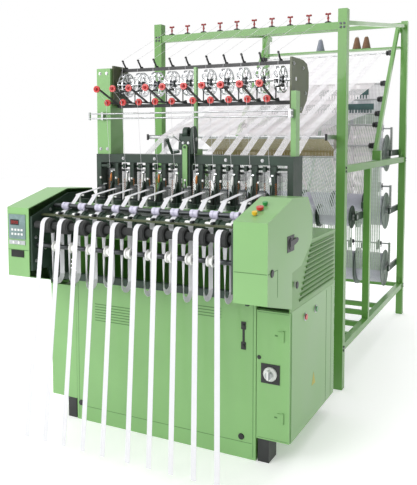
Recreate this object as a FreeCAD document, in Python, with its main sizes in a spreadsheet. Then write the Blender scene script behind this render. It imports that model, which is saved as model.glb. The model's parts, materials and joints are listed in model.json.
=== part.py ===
"""Narrow fabric power loom: ten needle heads, take-off rollers and a warp beam creel.

Frame: +Z up, +Y from the weaver's side back to the creel, +X to the right, millimetres.
The origin lies on the floor at the centre of the loom's four anchor holes.
Places along Y are measured from the front face of the cabinets; the helpers add
front_face_y, which puts that face in its place in the frame.
"""
import FreeCAD, Part
import Sketcher

import math
import os
import re

SIZES = {
    # loom body
    "half_width": 645, "front_face_y": -330, "body_depth": 664, "seam_x": 489,
    "cabinet_base_z": 104, "cabinet_top_z": 680, "deck_z": 957, "deck_thick": 27,
    "wall_thick": 24, "sheet_thick": 3, "seam_gap": 1, "rest_gap": 0.3,
    "panel_top_z": 735,
    "foot_wide": 52, "foot_long": 90, "foot_inset": 8, "foot_front_y": 50,
    "foot_rear_y": 610, "anchor_radius": 9,
    "door_thick": 13, "door_gap": 2,
    "switch_x": 556, "switch_z": 403, "switch_radius": 16, "button_z": 618,
    "louvre_pitch": 22, "louvre_front_y": 110, "louvre_step": 15, "louvre_proud": 7,
    # take-off housings at both ends
    "housing_x": 654.5, "left_housing_wide": 128, "right_housing_wide": 145,
    "housing_front_y": -288, "housing_base_z": 776, "housing_brow_z": 1098,
    "housing_top_z": 1171, "housing_back_y": 257, "cheek_thick": 12,
    # take-off rollers
    "front_roller_y": -256, "front_roller_z": 1020, "front_roller_radius": 34,
    "ring_shaft_y": -250, "ring_shaft_z": 925, "ring_radius": 24,
    "takeup_y": -118, "takeup_z": 1040, "takeup_radius": 38,
    "press_radius": 17, "nip_gap": 2.4, "journal_radius": 10, "journal_gap": 0.05,
    "tie_bar_y": -100, "tie_bar_z": 757, "tie_bar_high": 32,
    # heads and tapes
    "head_pitch": 96, "middle_pitch": 117, "tape_wide": 24, "tape_thick": 1.6,
    "tape_end_z": 60, "tape_slant": 85, "fan_percent": 9, "loop_base_z": 735,
    "fell_y": 150, "fell_z": 1168,
    # weaving zone
    "batten_y": 150, "batten_z": 985, "reed_top_z": 1180, "needle_bar_z": 1050,
    "reed_wide": 44, "knit_bar_z": 1040, "guide_bar_y": -20, "guide_bar_z": 1145,
    "heald_y": 290, "heald_depth": 130, "heald_beam_z": 1333, "column_wide": 24,
    "heald_beam_high": 43, "heald_left_x": -537, "heald_right_x": 520,
    "heald_cheek_thick": 29,
    "link_z": 1374, "link_pin_radius": 6,
    # weft feeder
    "feeder_y": 400, "feeder_z": 1700, "wheel_radius": 65, "knob_radius": 17,
    "feeder_top_z": 1786, "feeder_left_x": -480, "feeder_right_x": 510,
    "feeder_column_wide": 86, "feeder_post_x": 525, "low_knob_y": 231, "high_knob_y": 140,
    "high_knob_z": 1664, "end_plate_thick": 10,
    # creel
    "creel_x": 585, "creel_tube": 50, "creel_wall": 3, "creel_front_y": 985,
    "creel_rear_y": 2760, "creel_front_z": 2120, "creel_rear_z": 2324,
    "creel_mid_z": 1243, "creel_base_z": 233, "creel_rail": 40,
    "upright_y": 1600, "top_rail_z": 2030, "guide_pitch": 110.5,
    "beam_shaft_radius": 14, "beam_radius": 140, "small_beam_radius": 72,
    "beam_shaft_y": 2460, "beam_low_z": 420, "beam_mid_z": 860, "beam_high_z": 1300,
    "small_rear_y": 1760, "small_rear_z": 985, "small_front_y": 1440, "small_front_z": 925,
    "warp_bar_y": 800, "warp_bar_z": 1422,
}
HEADS = 10
LOUVRES = 11
HOUSING_SKIN = 4
BEAMS_PER_SHAFT = 5
SPOOL_REACH = 11
CONES = (-90, 213, 290)
# lease arms: (y, z) of the centre line's foot and top, and where the rods cross them
LEASE_FOOT = (1985, 1300)
LEASE_TOP = (2700, 2262)
LEASE_SLOPE = (LEASE_TOP[1] - LEASE_FOOT[1]) / (LEASE_TOP[0] - LEASE_FOOT[0])
LEASE_RODS = (2030, 2140, 2200, 2280, 2370, 2550)

doc = FreeCAD.newDocument("power_loom")
sheet = doc.addObject("Spreadsheet::Sheet", "Sizes")
for row, (alias, number) in enumerate(SIZES.items(), start=1):
    sheet.set(f"A{row}", alias)
    sheet.set(f"B{row}", str(number))
    sheet.setAlias(f"B{row}", alias)
doc.recompute()

WORD = re.compile(r"[a-z][a-z_]*")
pieces = []


def linked(text):
    """The same expression with each named size read from the sheet."""
    return WORD.sub(lambda word: "Sizes." + word.group(), str(text))


def value(alias):
    """One size from the sheet, for shapes made by Part's own functions."""
    return float(sheet.get(alias))


def place(item, x, y, z):
    """Bind an object's place; y is measured back from the cabinets' front face."""
    item.setExpression("Placement.Base.x", linked(x))
    item.setExpression("Placement.Base.y", linked(f"front_face_y + ({y})"))
    item.setExpression("Placement.Base.z", linked(z))
    return item


def block(xs, ys, zs):
    """A rectangular block between two expressions along each axis."""
    item = doc.addObject("Part::Box", "block")
    for side, (low, high) in zip(("Length", "Width", "Height"), (xs, ys, zs)):
        item.setExpression(side, linked(f"({high}) - ({low})"))
    return place(item, xs[0], ys[0], zs[0])


def rod(axis, centre, radius, low, high):
    """A round bar along axis; centre gives its other two places in X, Y, Z order."""
    item = doc.addObject("Part::Cylinder", "rod")
    item.setExpression("Radius", linked(radius))
    item.setExpression("Height", linked(f"({high}) - ({low})"))
    if axis == "x":
        item.Placement.Rotation = FreeCAD.Rotation(FreeCAD.Vector(0, 1, 0), 90)
        return place(item, low, centre[0], centre[1])
    if axis == "y":
        item.Placement.Rotation = FreeCAD.Rotation(FreeCAD.Vector(1, 0, 0), -90)
        return place(item, centre[0], low, centre[1])
    return place(item, centre[0], centre[1], low)


def cone(axis, centre, radii, low, high):
    """A round taper along z or x from the first radius to the second."""
    item = doc.addObject("Part::Cone", "cone")
    item.setExpression("Radius1", linked(radii[0]))
    item.setExpression("Radius2", linked(radii[1]))
    item.setExpression("Height", linked(f"({high}) - ({low})"))
    if axis == "x":
        item.Placement.Rotation = FreeCAD.Rotation(FreeCAD.Vector(0, 1, 0), 90)
        return place(item, low, centre[0], centre[1])
    return place(item, centre[0], centre[1], low)


def bar(start, end, wide, thick):
    """A slanting flat bar in a YZ plane: wide along X, thick in the plane.

    start and end are (x, y, z) numbers of the bar's centre line.
    """
    x, y, z = start
    run, rise = end[1] - y, end[2] - z
    turn = math.degrees(math.atan2(rise, run))
    item = doc.addObject("Part::Box", "bar")
    item.Length, item.Width, item.Height = wide, math.hypot(run, rise), thick
    tilt = FreeCAD.Rotation(FreeCAD.Vector(1, 0, 0), turn)
    corner = tilt.multVec(FreeCAD.Vector(0, 0, -thick / 2))
    base = FreeCAD.Vector(x - wide / 2, y + value("front_face_y"), z) + corner
    item.Placement = FreeCAD.Placement(base, tilt)
    return item


def fuse(*items):
    """Several touching shapes as one solid."""
    item = doc.addObject("Part::MultiFuse", "fuse")
    item.Shapes = list(items)
    return item


def group(items):
    """Several separate solids kept together."""
    item = doc.addObject("Part::Compound", "group")
    item.Links = list(items)
    return item


def cut(base, *tools):
    """A shape with one or more others taken away."""
    item = doc.addObject("Part::Cut", "cut")
    item.Base = base
    item.Tool = tools[0] if len(tools) == 1 else group(tools)
    return item


def tube(xs, ys, zs, open_axis):
    """A square tube with walls of creel_wall, open at both ends of one axis."""
    inner = [(f"({low}) + creel_wall", f"({high}) - creel_wall") for low, high in (xs, ys, zs)]
    inner[open_axis] = (xs, ys, zs)[open_axis]
    return cut(block(xs, ys, zs), block(*inner))


def profile(points, low, high, holes=()):
    """A plate drawn in the YZ plane and padded along X from low to high.

    points are (y, z) expressions; holes are (y, z, radius) expressions.
    """
    body = doc.addObject("PartDesign::Body", "body")
    plane = next(p for p in body.Origin.OriginFeatures if p.Role == "YZ_Plane")
    sketch = body.newObject("Sketcher::SketchObject", "outline")
    sketch.AttachmentSupport = [(plane, "")]
    sketch.MapMode = "FlatFace"
    start = [FreeCAD.Vector(guess(y), guess(z), 0) for y, z in points]
    count = len(points)
    for i in range(count):
        sketch.addGeometry(Part.LineSegment(start[i], start[(i + 1) % count]), False)
    rules = []
    for i in range(count):
        sketch.addConstraint(Sketcher.Constraint("Coincident", i, 2, (i + 1) % count, 1))
    for i, (y, z) in enumerate(points):
        for kind, text, now in (("DistanceX", y, start[i].x), ("DistanceY", z, start[i].y)):
            rules.append((sketch.addConstraint(Sketcher.Constraint(kind, -1, 1, i, 1, now)), text))
    for y, z, radius in holes:
        middle = FreeCAD.Vector(guess(y), guess(z), 0)
        circle = Part.Circle(middle, FreeCAD.Vector(0, 0, 1), guess(radius))
        ring = sketch.addGeometry(circle, False)
        for kind, text, now in (("DistanceX", y, middle.x), ("DistanceY", z, middle.y)):
            rules.append(
                (sketch.addConstraint(Sketcher.Constraint(kind, -1, 1, ring, 3, now)), text))
        rule = Sketcher.Constraint("Radius", ring, guess(radius))
        rules.append((sketch.addConstraint(rule), radius))
    for rule, text in rules:
        sketch.setExpression(f"Constraints[{rule}]", linked(text))
    pad = body.newObject("PartDesign::Pad", "pad")
    pad.Profile = sketch
    pad.setExpression("Length", linked(f"({high}) - ({low})"))
    return place(body, low, "0", "0")


def guess(text):
    """The number a sum of named sizes has now; a sketch is first drawn with it."""
    total, sign = 0.0, 1
    for word in str(text).split():
        if word in "+-":
            sign = 1 if word == "+" else -1
            continue
        lone = -1 if word.startswith("-") else 1
        word = word.lstrip("-")
        total += sign * lone * (value(word) if word[0].isalpha() else float(word))
        sign = 1
    return total


def piece(name, item):
    """Name a finished sub-part; the name is its node and its file."""
    item.Label = name
    pieces.append(item)
    return item


def head_x(head):
    """Middle of one weaving head: two banks of five, a wider space between them."""
    half = HEADS // 2
    step = head - half if head >= half else head - half + 1
    middle = value("middle_pitch") / 2
    side = middle if head >= half else -middle
    return side + step * value("head_pitch")


heads = [head_x(head) for head in range(HEADS)]
sides = (-1, 1)
PRESS_Z = "takeup_z + takeup_radius + press_radius + nip_gap"
CHEEKS = ("-(housing_x - left_housing_wide - cheek_thick)",
          "housing_x - right_housing_wide - cheek_thick")


def span(side, inner, outer):
    """X range between two distances from the middle, on the left (-1) or right (1)."""
    return (inner, outer) if side > 0 else (f"-({outer})", f"-({inner})")


def loom_body():
    """Side walls, tray, deck, panels, cabinets and the feet they stand on."""
    wall = ("seam_x - wall_thick", "seam_x")
    piece("side_walls", group([block(span(side, *wall), ("10", "body_depth - 14"),
                                     ("0", "deck_z - deck_thick")) for side in sides]))
    deck_zs = ("deck_z - deck_thick", "deck_z")
    wings = [block(span(side, "seam_x - 5", "half_width - 5"),
                   ("housing_back_y + 5", "body_depth - 4"), deck_zs) for side in sides]
    stands = [block((x - 20, x + 20), ("222", "248"), ("deck_z", "needle_bar_z - rest_gap"))
              for x in (-400, 0, 400)]
    bed = fuse(block(("-seam_x", "seam_x"), ("10", "body_depth - 4"), deck_zs), *wings)
    piece("machine_bed", group([bed, *stands]))
    front_xs = ("-(seam_x - seam_gap)", "seam_x - seam_gap")
    skin = block(front_xs, ("0", "sheet_thick"), ("0", "panel_top_z"))
    lips = [block(front_xs, ("sheet_thick", "10"), (low, high)) for low, high in
            (("0", "sheet_thick"), ("panel_top_z - sheet_thick", "panel_top_z"))]
    piece("front_panel", fuse(skin, *lips))
    piece("rear_panel", block(("-(half_width - 5)", "half_width - 5"),
                              ("body_depth - 4", "body_depth"), ("cabinet_base_z", "deck_z")))
    feet = []
    for side in sides:
        for y in ("foot_front_y", "foot_rear_y"):
            xs = span(side, "seam_x + foot_inset", "seam_x + foot_inset + foot_wide")
            solid = block(xs, (f"{y} - foot_long / 2", f"{y} + foot_long / 2"),
                          ("0", "cabinet_base_z"))
            middle = f"{side} * (seam_x + foot_inset + foot_wide / 2)"
            hole = rod("z", (middle, y), "anchor_radius", "0", "cabinet_base_z")
            feet.append(cut(solid, hole))
    piece("machine_feet", group(feet))
    cabinet_zs = ("cabinet_base_z", "cabinet_top_z")
    wall_in = "sheet_thick"
    inside_zs = (f"cabinet_base_z + {wall_in}", f"cabinet_top_z - {wall_in}")
    shell = block(("seam_x", "half_width"), ("door_thick + rest_gap", "body_depth - 4"),
                  cabinet_zs)
    room = block((f"seam_x + {wall_in}", f"half_width - {wall_in}"),
                 ("0", f"body_depth - 4 - {wall_in}"), inside_zs)
    holes = [rod("x", (y, "button_z"), "6 + journal_gap", "half_width - 5", "half_width + 1")
             for _, y in SIDE_BUTTONS]
    piece("control_cabinet", cut(shell, room, *holes))
    shell = block(("-half_width", "-seam_x"), ("0", "body_depth - 4"), cabinet_zs)
    room = block((f"-half_width + {wall_in}", f"-seam_x - {wall_in}"),
                 (wall_in, f"body_depth - 4 - {wall_in}"), inside_zs)
    piece("left_cabinet", cut(shell, room))
    door = block(("seam_x + door_gap", "half_width - door_gap"), ("0", "door_thick"),
                 ("cabinet_base_z + door_gap", "cabinet_top_z - door_gap"))
    hole = rod("y", ("switch_x", "switch_z"), "switch_radius + journal_gap", "0", "door_thick")
    piece("cabinet_door", cut(door, hole))
    knob = rod("y", ("switch_x", "switch_z"), "switch_radius", "-30", "door_thick - 1")
    grip = block(("switch_x - 5", "switch_x + 5"), ("-38", "-30"),
                 ("switch_z - switch_radius", "switch_z + switch_radius"))
    piece("main_switch", fuse(knob, grip))


def side_covers():
    """Louvred covers above the cabinets, one blade below each slot."""
    outline = (("-5", "cabinet_top_z + 1"), ("body_depth - 5", "cabinet_top_z + 1"),
               ("body_depth - 5", "deck_z"), ("housing_back_y + 6", "deck_z"),
               ("housing_back_y - 145", "deck_z - 96"), ("-5", "deck_z - 106"))
    covers = []
    for side in sides:
        low, high = span(side, "half_width - 5", "half_width")
        plate = profile(outline, low, high)
        slots, blades = [], []
        for row in range(LOUVRES):
            z = f"cabinet_top_z + 24 + {row} * louvre_pitch"
            ys = (f"louvre_front_y + {row} * louvre_step", "body_depth - 30")
            slots.append(block((f"({low}) - 1", f"({high}) + 1"), ys,
                               (z, f"{z} + louvre_pitch / 3")))
            xs = span(side, "half_width - 1", "half_width + louvre_proud")
            blades.append(block(xs, ys, (f"{z} + louvre_pitch / 3",
                                         f"{z} + louvre_pitch / 3 + 3")))
        covers.append(fuse(cut(plate, *slots), *blades))
    piece("side_covers", group(covers))


def housings():
    """End housings with their inner cheeks, which carry the rollers' journals."""
    outline = (("housing_front_y", "housing_base_z", 1, 1),
               ("housing_front_y", "housing_brow_z", 1, -1),
               ("-9", "housing_top_z", 0, -1),
               ("housing_back_y - 65", "housing_top_z - 11", -1, -1),
               ("housing_back_y", "housing_top_z - 101", -1, 0),
               ("housing_back_y", "deck_z + 3", -1, 0),
               ("housing_back_y - 148", "deck_z - 90", -1, 1),
               ("-9", "deck_z - 101", -1, 1),
               ("-9", "cabinet_top_z + 20", -1, 1))
    outer = [(y, z) for y, z, _, _ in outline]
    inner = [(f"{y} {'+-'[dy < 0]} {abs(dy) * HOUSING_SKIN}",
              f"{z} {'+-'[dz < 0]} {abs(dz) * HOUSING_SKIN}") for y, z, dy, dz in outline]
    axles = [("front_roller_y", "front_roller_z"), ("ring_shaft_y", "ring_shaft_z"),
             ("takeup_y", "takeup_z"), ("takeup_y", PRESS_Z), ("batten_y", "batten_z")]
    bores = [(y, z, "journal_radius + journal_gap") for y, z in axles]
    cheek = (("housing_front_y + 8", "housing_base_z + 30"),
             ("housing_front_y + 8", "housing_brow_z - 40"), ("-9", "housing_top_z - 20"),
             ("housing_back_y - 70", "housing_top_z - 30"), ("housing_back_y - 70", "deck_z"),
             ("-9", "deck_z - 90"), ("-9", "deck_z - 230"), ("-140", "deck_z - 230"),
             ("-170", "housing_base_z + 30"))
    cheeks = []
    for side, name in zip(sides, ("left", "right")):
        inside = f"housing_x - {name}_housing_wide"
        low, high = span(side, inside, "housing_x")
        shell = profile(outer, low, high)
        far = span(side, f"{inside} - 1", f"housing_x - {HOUSING_SKIN}")
        hollow = cut(shell, profile(inner, *far))
        if side > 0:
            holes = [button(x, y, 6 + value("journal_gap"), -20, 5) for _, x, y, _ in BUTTONS]
            hollow = cut(hollow, *holes)
        piece(f"{name}_housing", hollow)
        plate = profile(cheek, *span(side, f"{inside} - cheek_thick", inside), holes=bores)
        foot = block(span(side, "seam_x", f"{inside}"), ("20", "180"),
                     ("deck_z - 80", "deck_z - 30"))
        cheeks.append(fuse(plate, foot))
    piece("roller_cheeks", group(cheeks))


def roller(name, y, z, *bodies):
    """A shaft carried in both cheeks, fused with the bodies it turns."""
    low = "-(housing_x - left_housing_wide) + 1"
    high = "housing_x - right_housing_wide - 1"
    return piece(name, fuse(rod("x", (y, z), "journal_radius", low, high), *bodies))


def take_off():
    """Rollers, nip, ring shaft, tie bar, breast beam and the guides on it."""
    low, high = (f"{CHEEKS[0]} + 2", f"{CHEEKS[1]} - 2")
    roller("front_roller", "front_roller_y", "front_roller_z",
           rod("x", ("front_roller_y", "front_roller_z"), "front_roller_radius", low, high))
    roller("takeup_roller", "takeup_y", "takeup_z",
           rod("x", ("takeup_y", "takeup_z"), "takeup_radius", low, high))
    sleeves = [rod("x", ("takeup_y", PRESS_Z), "press_radius", x - 19, x + 19) for x in heads]
    roller("press_roller", "takeup_y", PRESS_Z, *sleeves)
    rings = []
    for head in range(HEADS - 1):
        middle = (heads[head] + heads[head + 1]) / 2
        rings.append(rod("x", ("ring_shaft_y", "ring_shaft_z"), "ring_radius - 8",
                         middle - SPOOL_REACH, middle + SPOOL_REACH))
        rings += [rod("x", ("ring_shaft_y", "ring_shaft_z"), "ring_radius", edge - 3, edge + 3)
                  for edge in (middle - SPOOL_REACH, middle + SPOOL_REACH)]
    roller("ring_shaft", "ring_shaft_y", "ring_shaft_z", *rings)
    piece("front_tie_bar", block(CHEEKS, ("tie_bar_y - 15", "tie_bar_y + 15"),
                                 ("tie_bar_z - tie_bar_high / 2", "tie_bar_z + tie_bar_high / 2")))
    piece("breast_beam", block(CHEEKS, ("-28", "32"), ("guide_bar_z - 60", "guide_bar_z - 45")))
    piece("deflector_bar", block(CHEEKS, ("-214", "-190"),
                                 ("front_roller_z + 38", "front_roller_z + 46")))
    guides = []
    for x in heads:
        bar_top = block((x - 23, x + 23), ("guide_bar_y - 1", "guide_bar_y + 9"),
                        ("guide_bar_z - 9", "guide_bar_z"))
        stem = block((x - 6, x + 6), ("guide_bar_y + 2", "guide_bar_y + 9"),
                     ("guide_bar_z - 45", "guide_bar_z - 5"))
        guides.append(fuse(bar_top, stem))
    piece("tape_guides", group(guides))


def arc(centre, radius, start, stop, steps=12):
    """Points of a round stretch in the YZ plane, angles in degrees from +Y."""
    turns = [math.radians(start + (stop - start) * i / steps) for i in range(steps + 1)]
    return [(centre[0] + radius * math.cos(a), centre[1] + radius * math.sin(a)) for a in turns]


def ribbon(path, x, wide, thick):
    """A strip of cloth along a path of (y, z) points, centred on x."""
    edges = []
    for shift in (thick / 2, -thick / 2):
        line = []
        for i, (y, z) in enumerate(path):
            before = path[max(i - 1, 0)]
            after = path[min(i + 1, len(path) - 1)]
            along = math.hypot(after[0] - before[0], after[1] - before[1])
            line.append(FreeCAD.Vector(x - wide / 2, y - shift * (after[1] - before[1]) / along,
                                       z + shift * (after[0] - before[0]) / along))
        edges.append(line)
    loop = edges[0] + edges[1][::-1]
    face = Part.Face(Part.makePolygon(loop + loop[:1]))
    return face.extrude(FreeCAD.Vector(wide, 0, 0))


def cloth(name, shapes):
    """Soft strips, made by Part's own functions from the sheet's sizes."""
    item = doc.addObject("Part::Feature", name)
    item.Shape = Part.makeCompound(shapes)
    item.Placement.Base.y = value("front_face_y")
    return piece(name, item)


def tapes():
    """The ten woven tapes: over the guide, round the rollers, and hanging in front."""
    thick, wide = value("tape_thick"), value("tape_wide")
    clear = value("rest_gap") + thick / 2
    takeup = (value("takeup_y"), value("takeup_z"))
    front = (value("front_roller_y"), value("front_roller_z"))
    wrap = value("takeup_radius") + clear
    behind = front[0] + value("front_roller_radius") + clear + 0.4
    strand = takeup[0] - wrap
    loop_radius = (strand - behind) / 2
    loop_centre = (behind + loop_radius, value("loop_base_z") + loop_radius)
    guide = (value("guide_bar_y") - 5, value("guide_bar_z") + 2)
    path = [(value("fell_y"), value("fell_z")), guide, (takeup[0] + 22, takeup[1] + wrap + 1)]
    path += arc(takeup, wrap, 90, 180)
    path += arc(loop_centre, loop_radius, 0, -180)
    path += arc(front, behind - front[0], 0, 180)
    cloth("tape_runs", [ribbon(path, x, wide, thick) for x in heads])
    top = (path[-1][0], path[-1][1] - value("rest_gap"))
    foot = (top[0] - value("tape_slant"), value("tape_end_z"))
    fan = 1 + value("fan_percent") / 100
    falls = []
    for x in heads:
        ends = []
        for middle, (y, z) in ((x, top), (x * fan, foot)):
            left, right = middle - wide / 2, middle + wide / 2
            near, far = y - thick / 2, y + thick / 2
            corners = ((left, near), (right, near), (right, far), (left, far), (left, near))
            ends.append(Part.makePolygon([FreeCAD.Vector(a, b, z) for a, b in corners]))
        falls.append(Part.makeLoft(ends, True, True))
    cloth("tape_falls", falls)


def weaving():
    """Batten with its reeds, needle bars, healds, and the tower with its link arm."""
    reeds = [block((f"{x} - reed_wide / 2", f"{x} + reed_wide / 2"),
                   ("batten_y + 16", "batten_y + 20"),
                   ("batten_z + 115", "reed_top_z")) for x in heads]
    beam = block((f"{CHEEKS[0]} + 14", f"{CHEEKS[1]} - 14"), ("batten_y + 5", "batten_y + 26"),
                 ("batten_z - 12", "batten_z + 120"))
    roller("batten", "batten_y", "batten_z", beam, *reeds)
    needles = []
    for x in heads:
        post = block((x - 38, x - 32), ("232", "238"), ("needle_bar_z + 15", "fell_z + 14"))
        tip = block((x - 38, x - 18), ("233", "237"), ("fell_z + 10", "fell_z + 14"))
        needles += [post, tip]
    carrier = block(("-498", "446"), ("225", "245"), ("needle_bar_z", "needle_bar_z + 20"))
    piece("weft_needle_bar", fuse(carrier, *needles))
    knit = [rod("z", (x + 19, "101"), 1.5, "knit_bar_z + 14", "fell_z - 8") for x in heads]
    carrier = block((f"{CHEEKS[0]} + rest_gap", f"{CHEEKS[1]} - rest_gap"), ("94", "108"),
                    ("knit_bar_z", "knit_bar_z + 16"))
    piece("knitting_needle_bar", fuse(carrier, *knit))
    xs = ("heald_left_x + rest_gap", "heald_right_x - rest_gap")
    for name, y in (("heald_frame_front", "heald_y + 55"), ("heald_frame_rear", "heald_y + 75")):
        ys = (y, f"{y} + 8")
        rails = [block(xs, ys, (z, f"{z} + 12")) for z in
                 ("deck_z + 53", "heald_beam_z - heald_beam_high - 50")]
        ends = [block(ends_x, ys, ("deck_z + 53", "heald_beam_z - heald_beam_high - 38"))
                for ends_x in ((xs[0], f"{xs[0]} + 14"), (f"{xs[1]} - 14", xs[1]))]
        piece(name, fuse(*rails, *ends))
    heald_ys = ("heald_y", "heald_y + heald_depth")
    piece("heald_beam", block(("heald_left_x - heald_cheek_thick",
                               "heald_right_x + heald_cheek_thick"), heald_ys,
                              ("heald_beam_z - heald_beam_high", "heald_beam_z")))
    ends = (("heald_left_x - heald_cheek_thick", "heald_left_x"),
            ("heald_right_x", "heald_right_x + heald_cheek_thick"))
    piece("heald_cheeks", group([block(ends_x, heald_ys, ("deck_z",
                                 "heald_beam_z - heald_beam_high")) for ends_x in ends]))
    columns = [block((f"{x} - column_wide / 2", f"{x} + column_wide / 2"),
                     ("heald_y + 8", "heald_y + 40"), ("deck_z", "heald_beam_z - heald_beam_high"))
               for x in heads]
    columns.append(block(("heald_left_x", "heald_right_x"), ("heald_y + 2", "heald_y + 8"),
                         ("heald_beam_z - heald_beam_high - 24",
                          "heald_beam_z - heald_beam_high - 12")))
    piece("heald_columns", group(columns))
    stand = block(("-24", "24"), ("255", "285"), ("deck_z", "deck_z + 470"))
    eye = rod("x", ("272", "deck_z + 490"), 26, "-10", "10")
    hole = rod("x", ("272", "deck_z + 490"), 13, "-11", "11")
    pin = rod("y", ("0", "link_z"), "link_pin_radius", "240", "256")
    piece("centre_tower", fuse(cut(fuse(stand, eye), hole), pin))
    bore = rod("y", ("0", "link_z"), "link_pin_radius + journal_gap", "230", "262")
    arm_ends = [rod("y", ("0", z), 13, "245", "254") for z in ("link_z - 190", "link_z")]
    arm = fuse(block(("-13", "13"), ("245", "254"), ("link_z - 190", "link_z")), *arm_ends)
    piece("link_arm", cut(arm, bore))


def feeder():
    """Column, posts, plates and bars above the healds, with the turning feed wheels."""
    low, high = "feeder_left_x", "feeder_right_x"
    base = "heald_beam_z"
    column = block((f"{low} - feeder_column_wide", low), ("300", "418"), (base, "feeder_top_z"))
    bores = [("feeder_y", "feeder_z", "journal_radius + journal_gap")]
    left = (("318", "feeder_z - 110"), ("458", "feeder_z - 110"),
            ("458", "feeder_z + 100"), ("318", "feeder_z + 100"))
    right = (("340", "feeder_z - 160"), ("485", "feeder_z - 160"), ("560", "feeder_z - 95"),
             ("589", "feeder_z - 37"), ("589", "feeder_z + 45"), ("560", "feeder_z + 85"),
             ("500", "feeder_z + 99"), ("340", "feeder_z + 99"))
    plates = [profile(left, low, f"{low} + end_plate_thick", bores),
              profile(right, high, f"{high} + end_plate_thick", bores)]
    piece("feeder_plates", group(plates))
    post = block(("feeder_post_x - 5", "feeder_post_x + 20"), ("330", "385"),
                 (base, "feeder_z - 60"))
    foot = block(("-8", "30"), ("305", "380"), (base, f"{base} + 30"))
    upper = block(("6", "20"), ("330", "350"), (f"{base} + 30", "feeder_z + 72"))
    piece("feeder_posts", group([column, post, fuse(foot, upper)]))
    between = (f"{low} + end_plate_thick", high)
    top = block(between, ("390", "412"), ("feeder_z + 72", "feeder_z + 88"))
    pin_z = value("feeder_z") + 84
    pins = [bar((x, 401, pin_z), (x, 360, pin_z + 46), 5, 5) for x in heads]
    lower = block(between, ("351", "373"), ("feeder_z - 122", "feeder_z - 104"))
    piece("feeder_bars", group([fuse(top, *pins), lower]))
    low_bar = "feeder_z - 104"
    low_z = value("feeder_z") - 104
    high_y, high_z = value("high_knob_y"), value("high_knob_z")
    guides, knobs = [], []
    for x in heads:
        level = block((x - 4, x + 4), ("low_knob_y", "360"), (low_bar, f"{low_bar} + 8"))
        climb = bar((x, 300, low_z + 6), (x, high_y + 8, high_z), 8, 8)
        tip = block((x - 4, x + 4), ("high_knob_y", "high_knob_y + 12"),
                    ("high_knob_z - 4", "high_knob_z + 4"))
        guides.append(fuse(level, climb, tip))
        for y, z in (("low_knob_y", f"{low_bar} + 4"), ("high_knob_y", "high_knob_z")):
            knobs.append(fuse(rod("y", (x, z), "knob_radius", f"{y} - 14", f"{y} - 4"),
                              rod("y", (x, z), "knob_radius / 2", f"{y} - 18", y)))
    piece("yarn_guide_arms", group(guides))
    piece("yarn_guides", group(knobs))
    left_end, right_end = f"{low} - feeder_column_wide - 35", "feeder_post_x + 20"
    rods = [rod("x", ("285", z), 4, left_end, right_end)
            for z in ("feeder_z - 154", "feeder_z - 179")]
    hanger_zs = ("feeder_z - 187", "feeder_z - 146")
    hangers = [block((f"{left_end} - 8", left_end), ("279", "291"), hanger_zs),
               block((f"{low} - 48", f"{low} - 36"), ("281", "300"), hanger_zs),
               block(("feeder_post_x", "feeder_post_x + 12"), ("281", "330"), hanger_zs)]
    piece("thread_rods", fuse(*rods, *hangers))
    shaft = rod("x", ("feeder_y", "feeder_z"), "journal_radius", f"{low} + 0.5", f"{high} + 10")
    wheels = []
    for x in heads:
        rims = [cut(rod("x", ("feeder_y", "feeder_z"), "wheel_radius", a, b),
                    rod("x", ("feeder_y", "feeder_z"), "wheel_radius - 7", a, b))
                for a, b in ((x - 15, x - 11), (x + 11, x + 15))]
        bars, spokes = [], []
        for turn in range(8):
            angle = math.radians(turn * 45)
            reach = value("wheel_radius") - 4
            y = value("feeder_y") + reach * math.cos(angle)
            z = value("feeder_z") + reach * math.sin(angle)
            bars.append(rod("x", (y, z), 3, x - 15, x + 15))
        for a in (x - 15, x + 11):
            spokes.append(block((a, a + 4), ("feeder_y - wheel_radius + 2",
                          "feeder_y + wheel_radius - 2"), ("feeder_z - 4", "feeder_z + 4")))
            spokes.append(block((a, a + 4), ("feeder_y - 4", "feeder_y + 4"),
                          ("feeder_z - wheel_radius + 2", "feeder_z + wheel_radius - 2")))
        wheels += [*rims, *bars, *spokes]
    piece("feed_wheels", fuse(shaft, *wheels))


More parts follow.
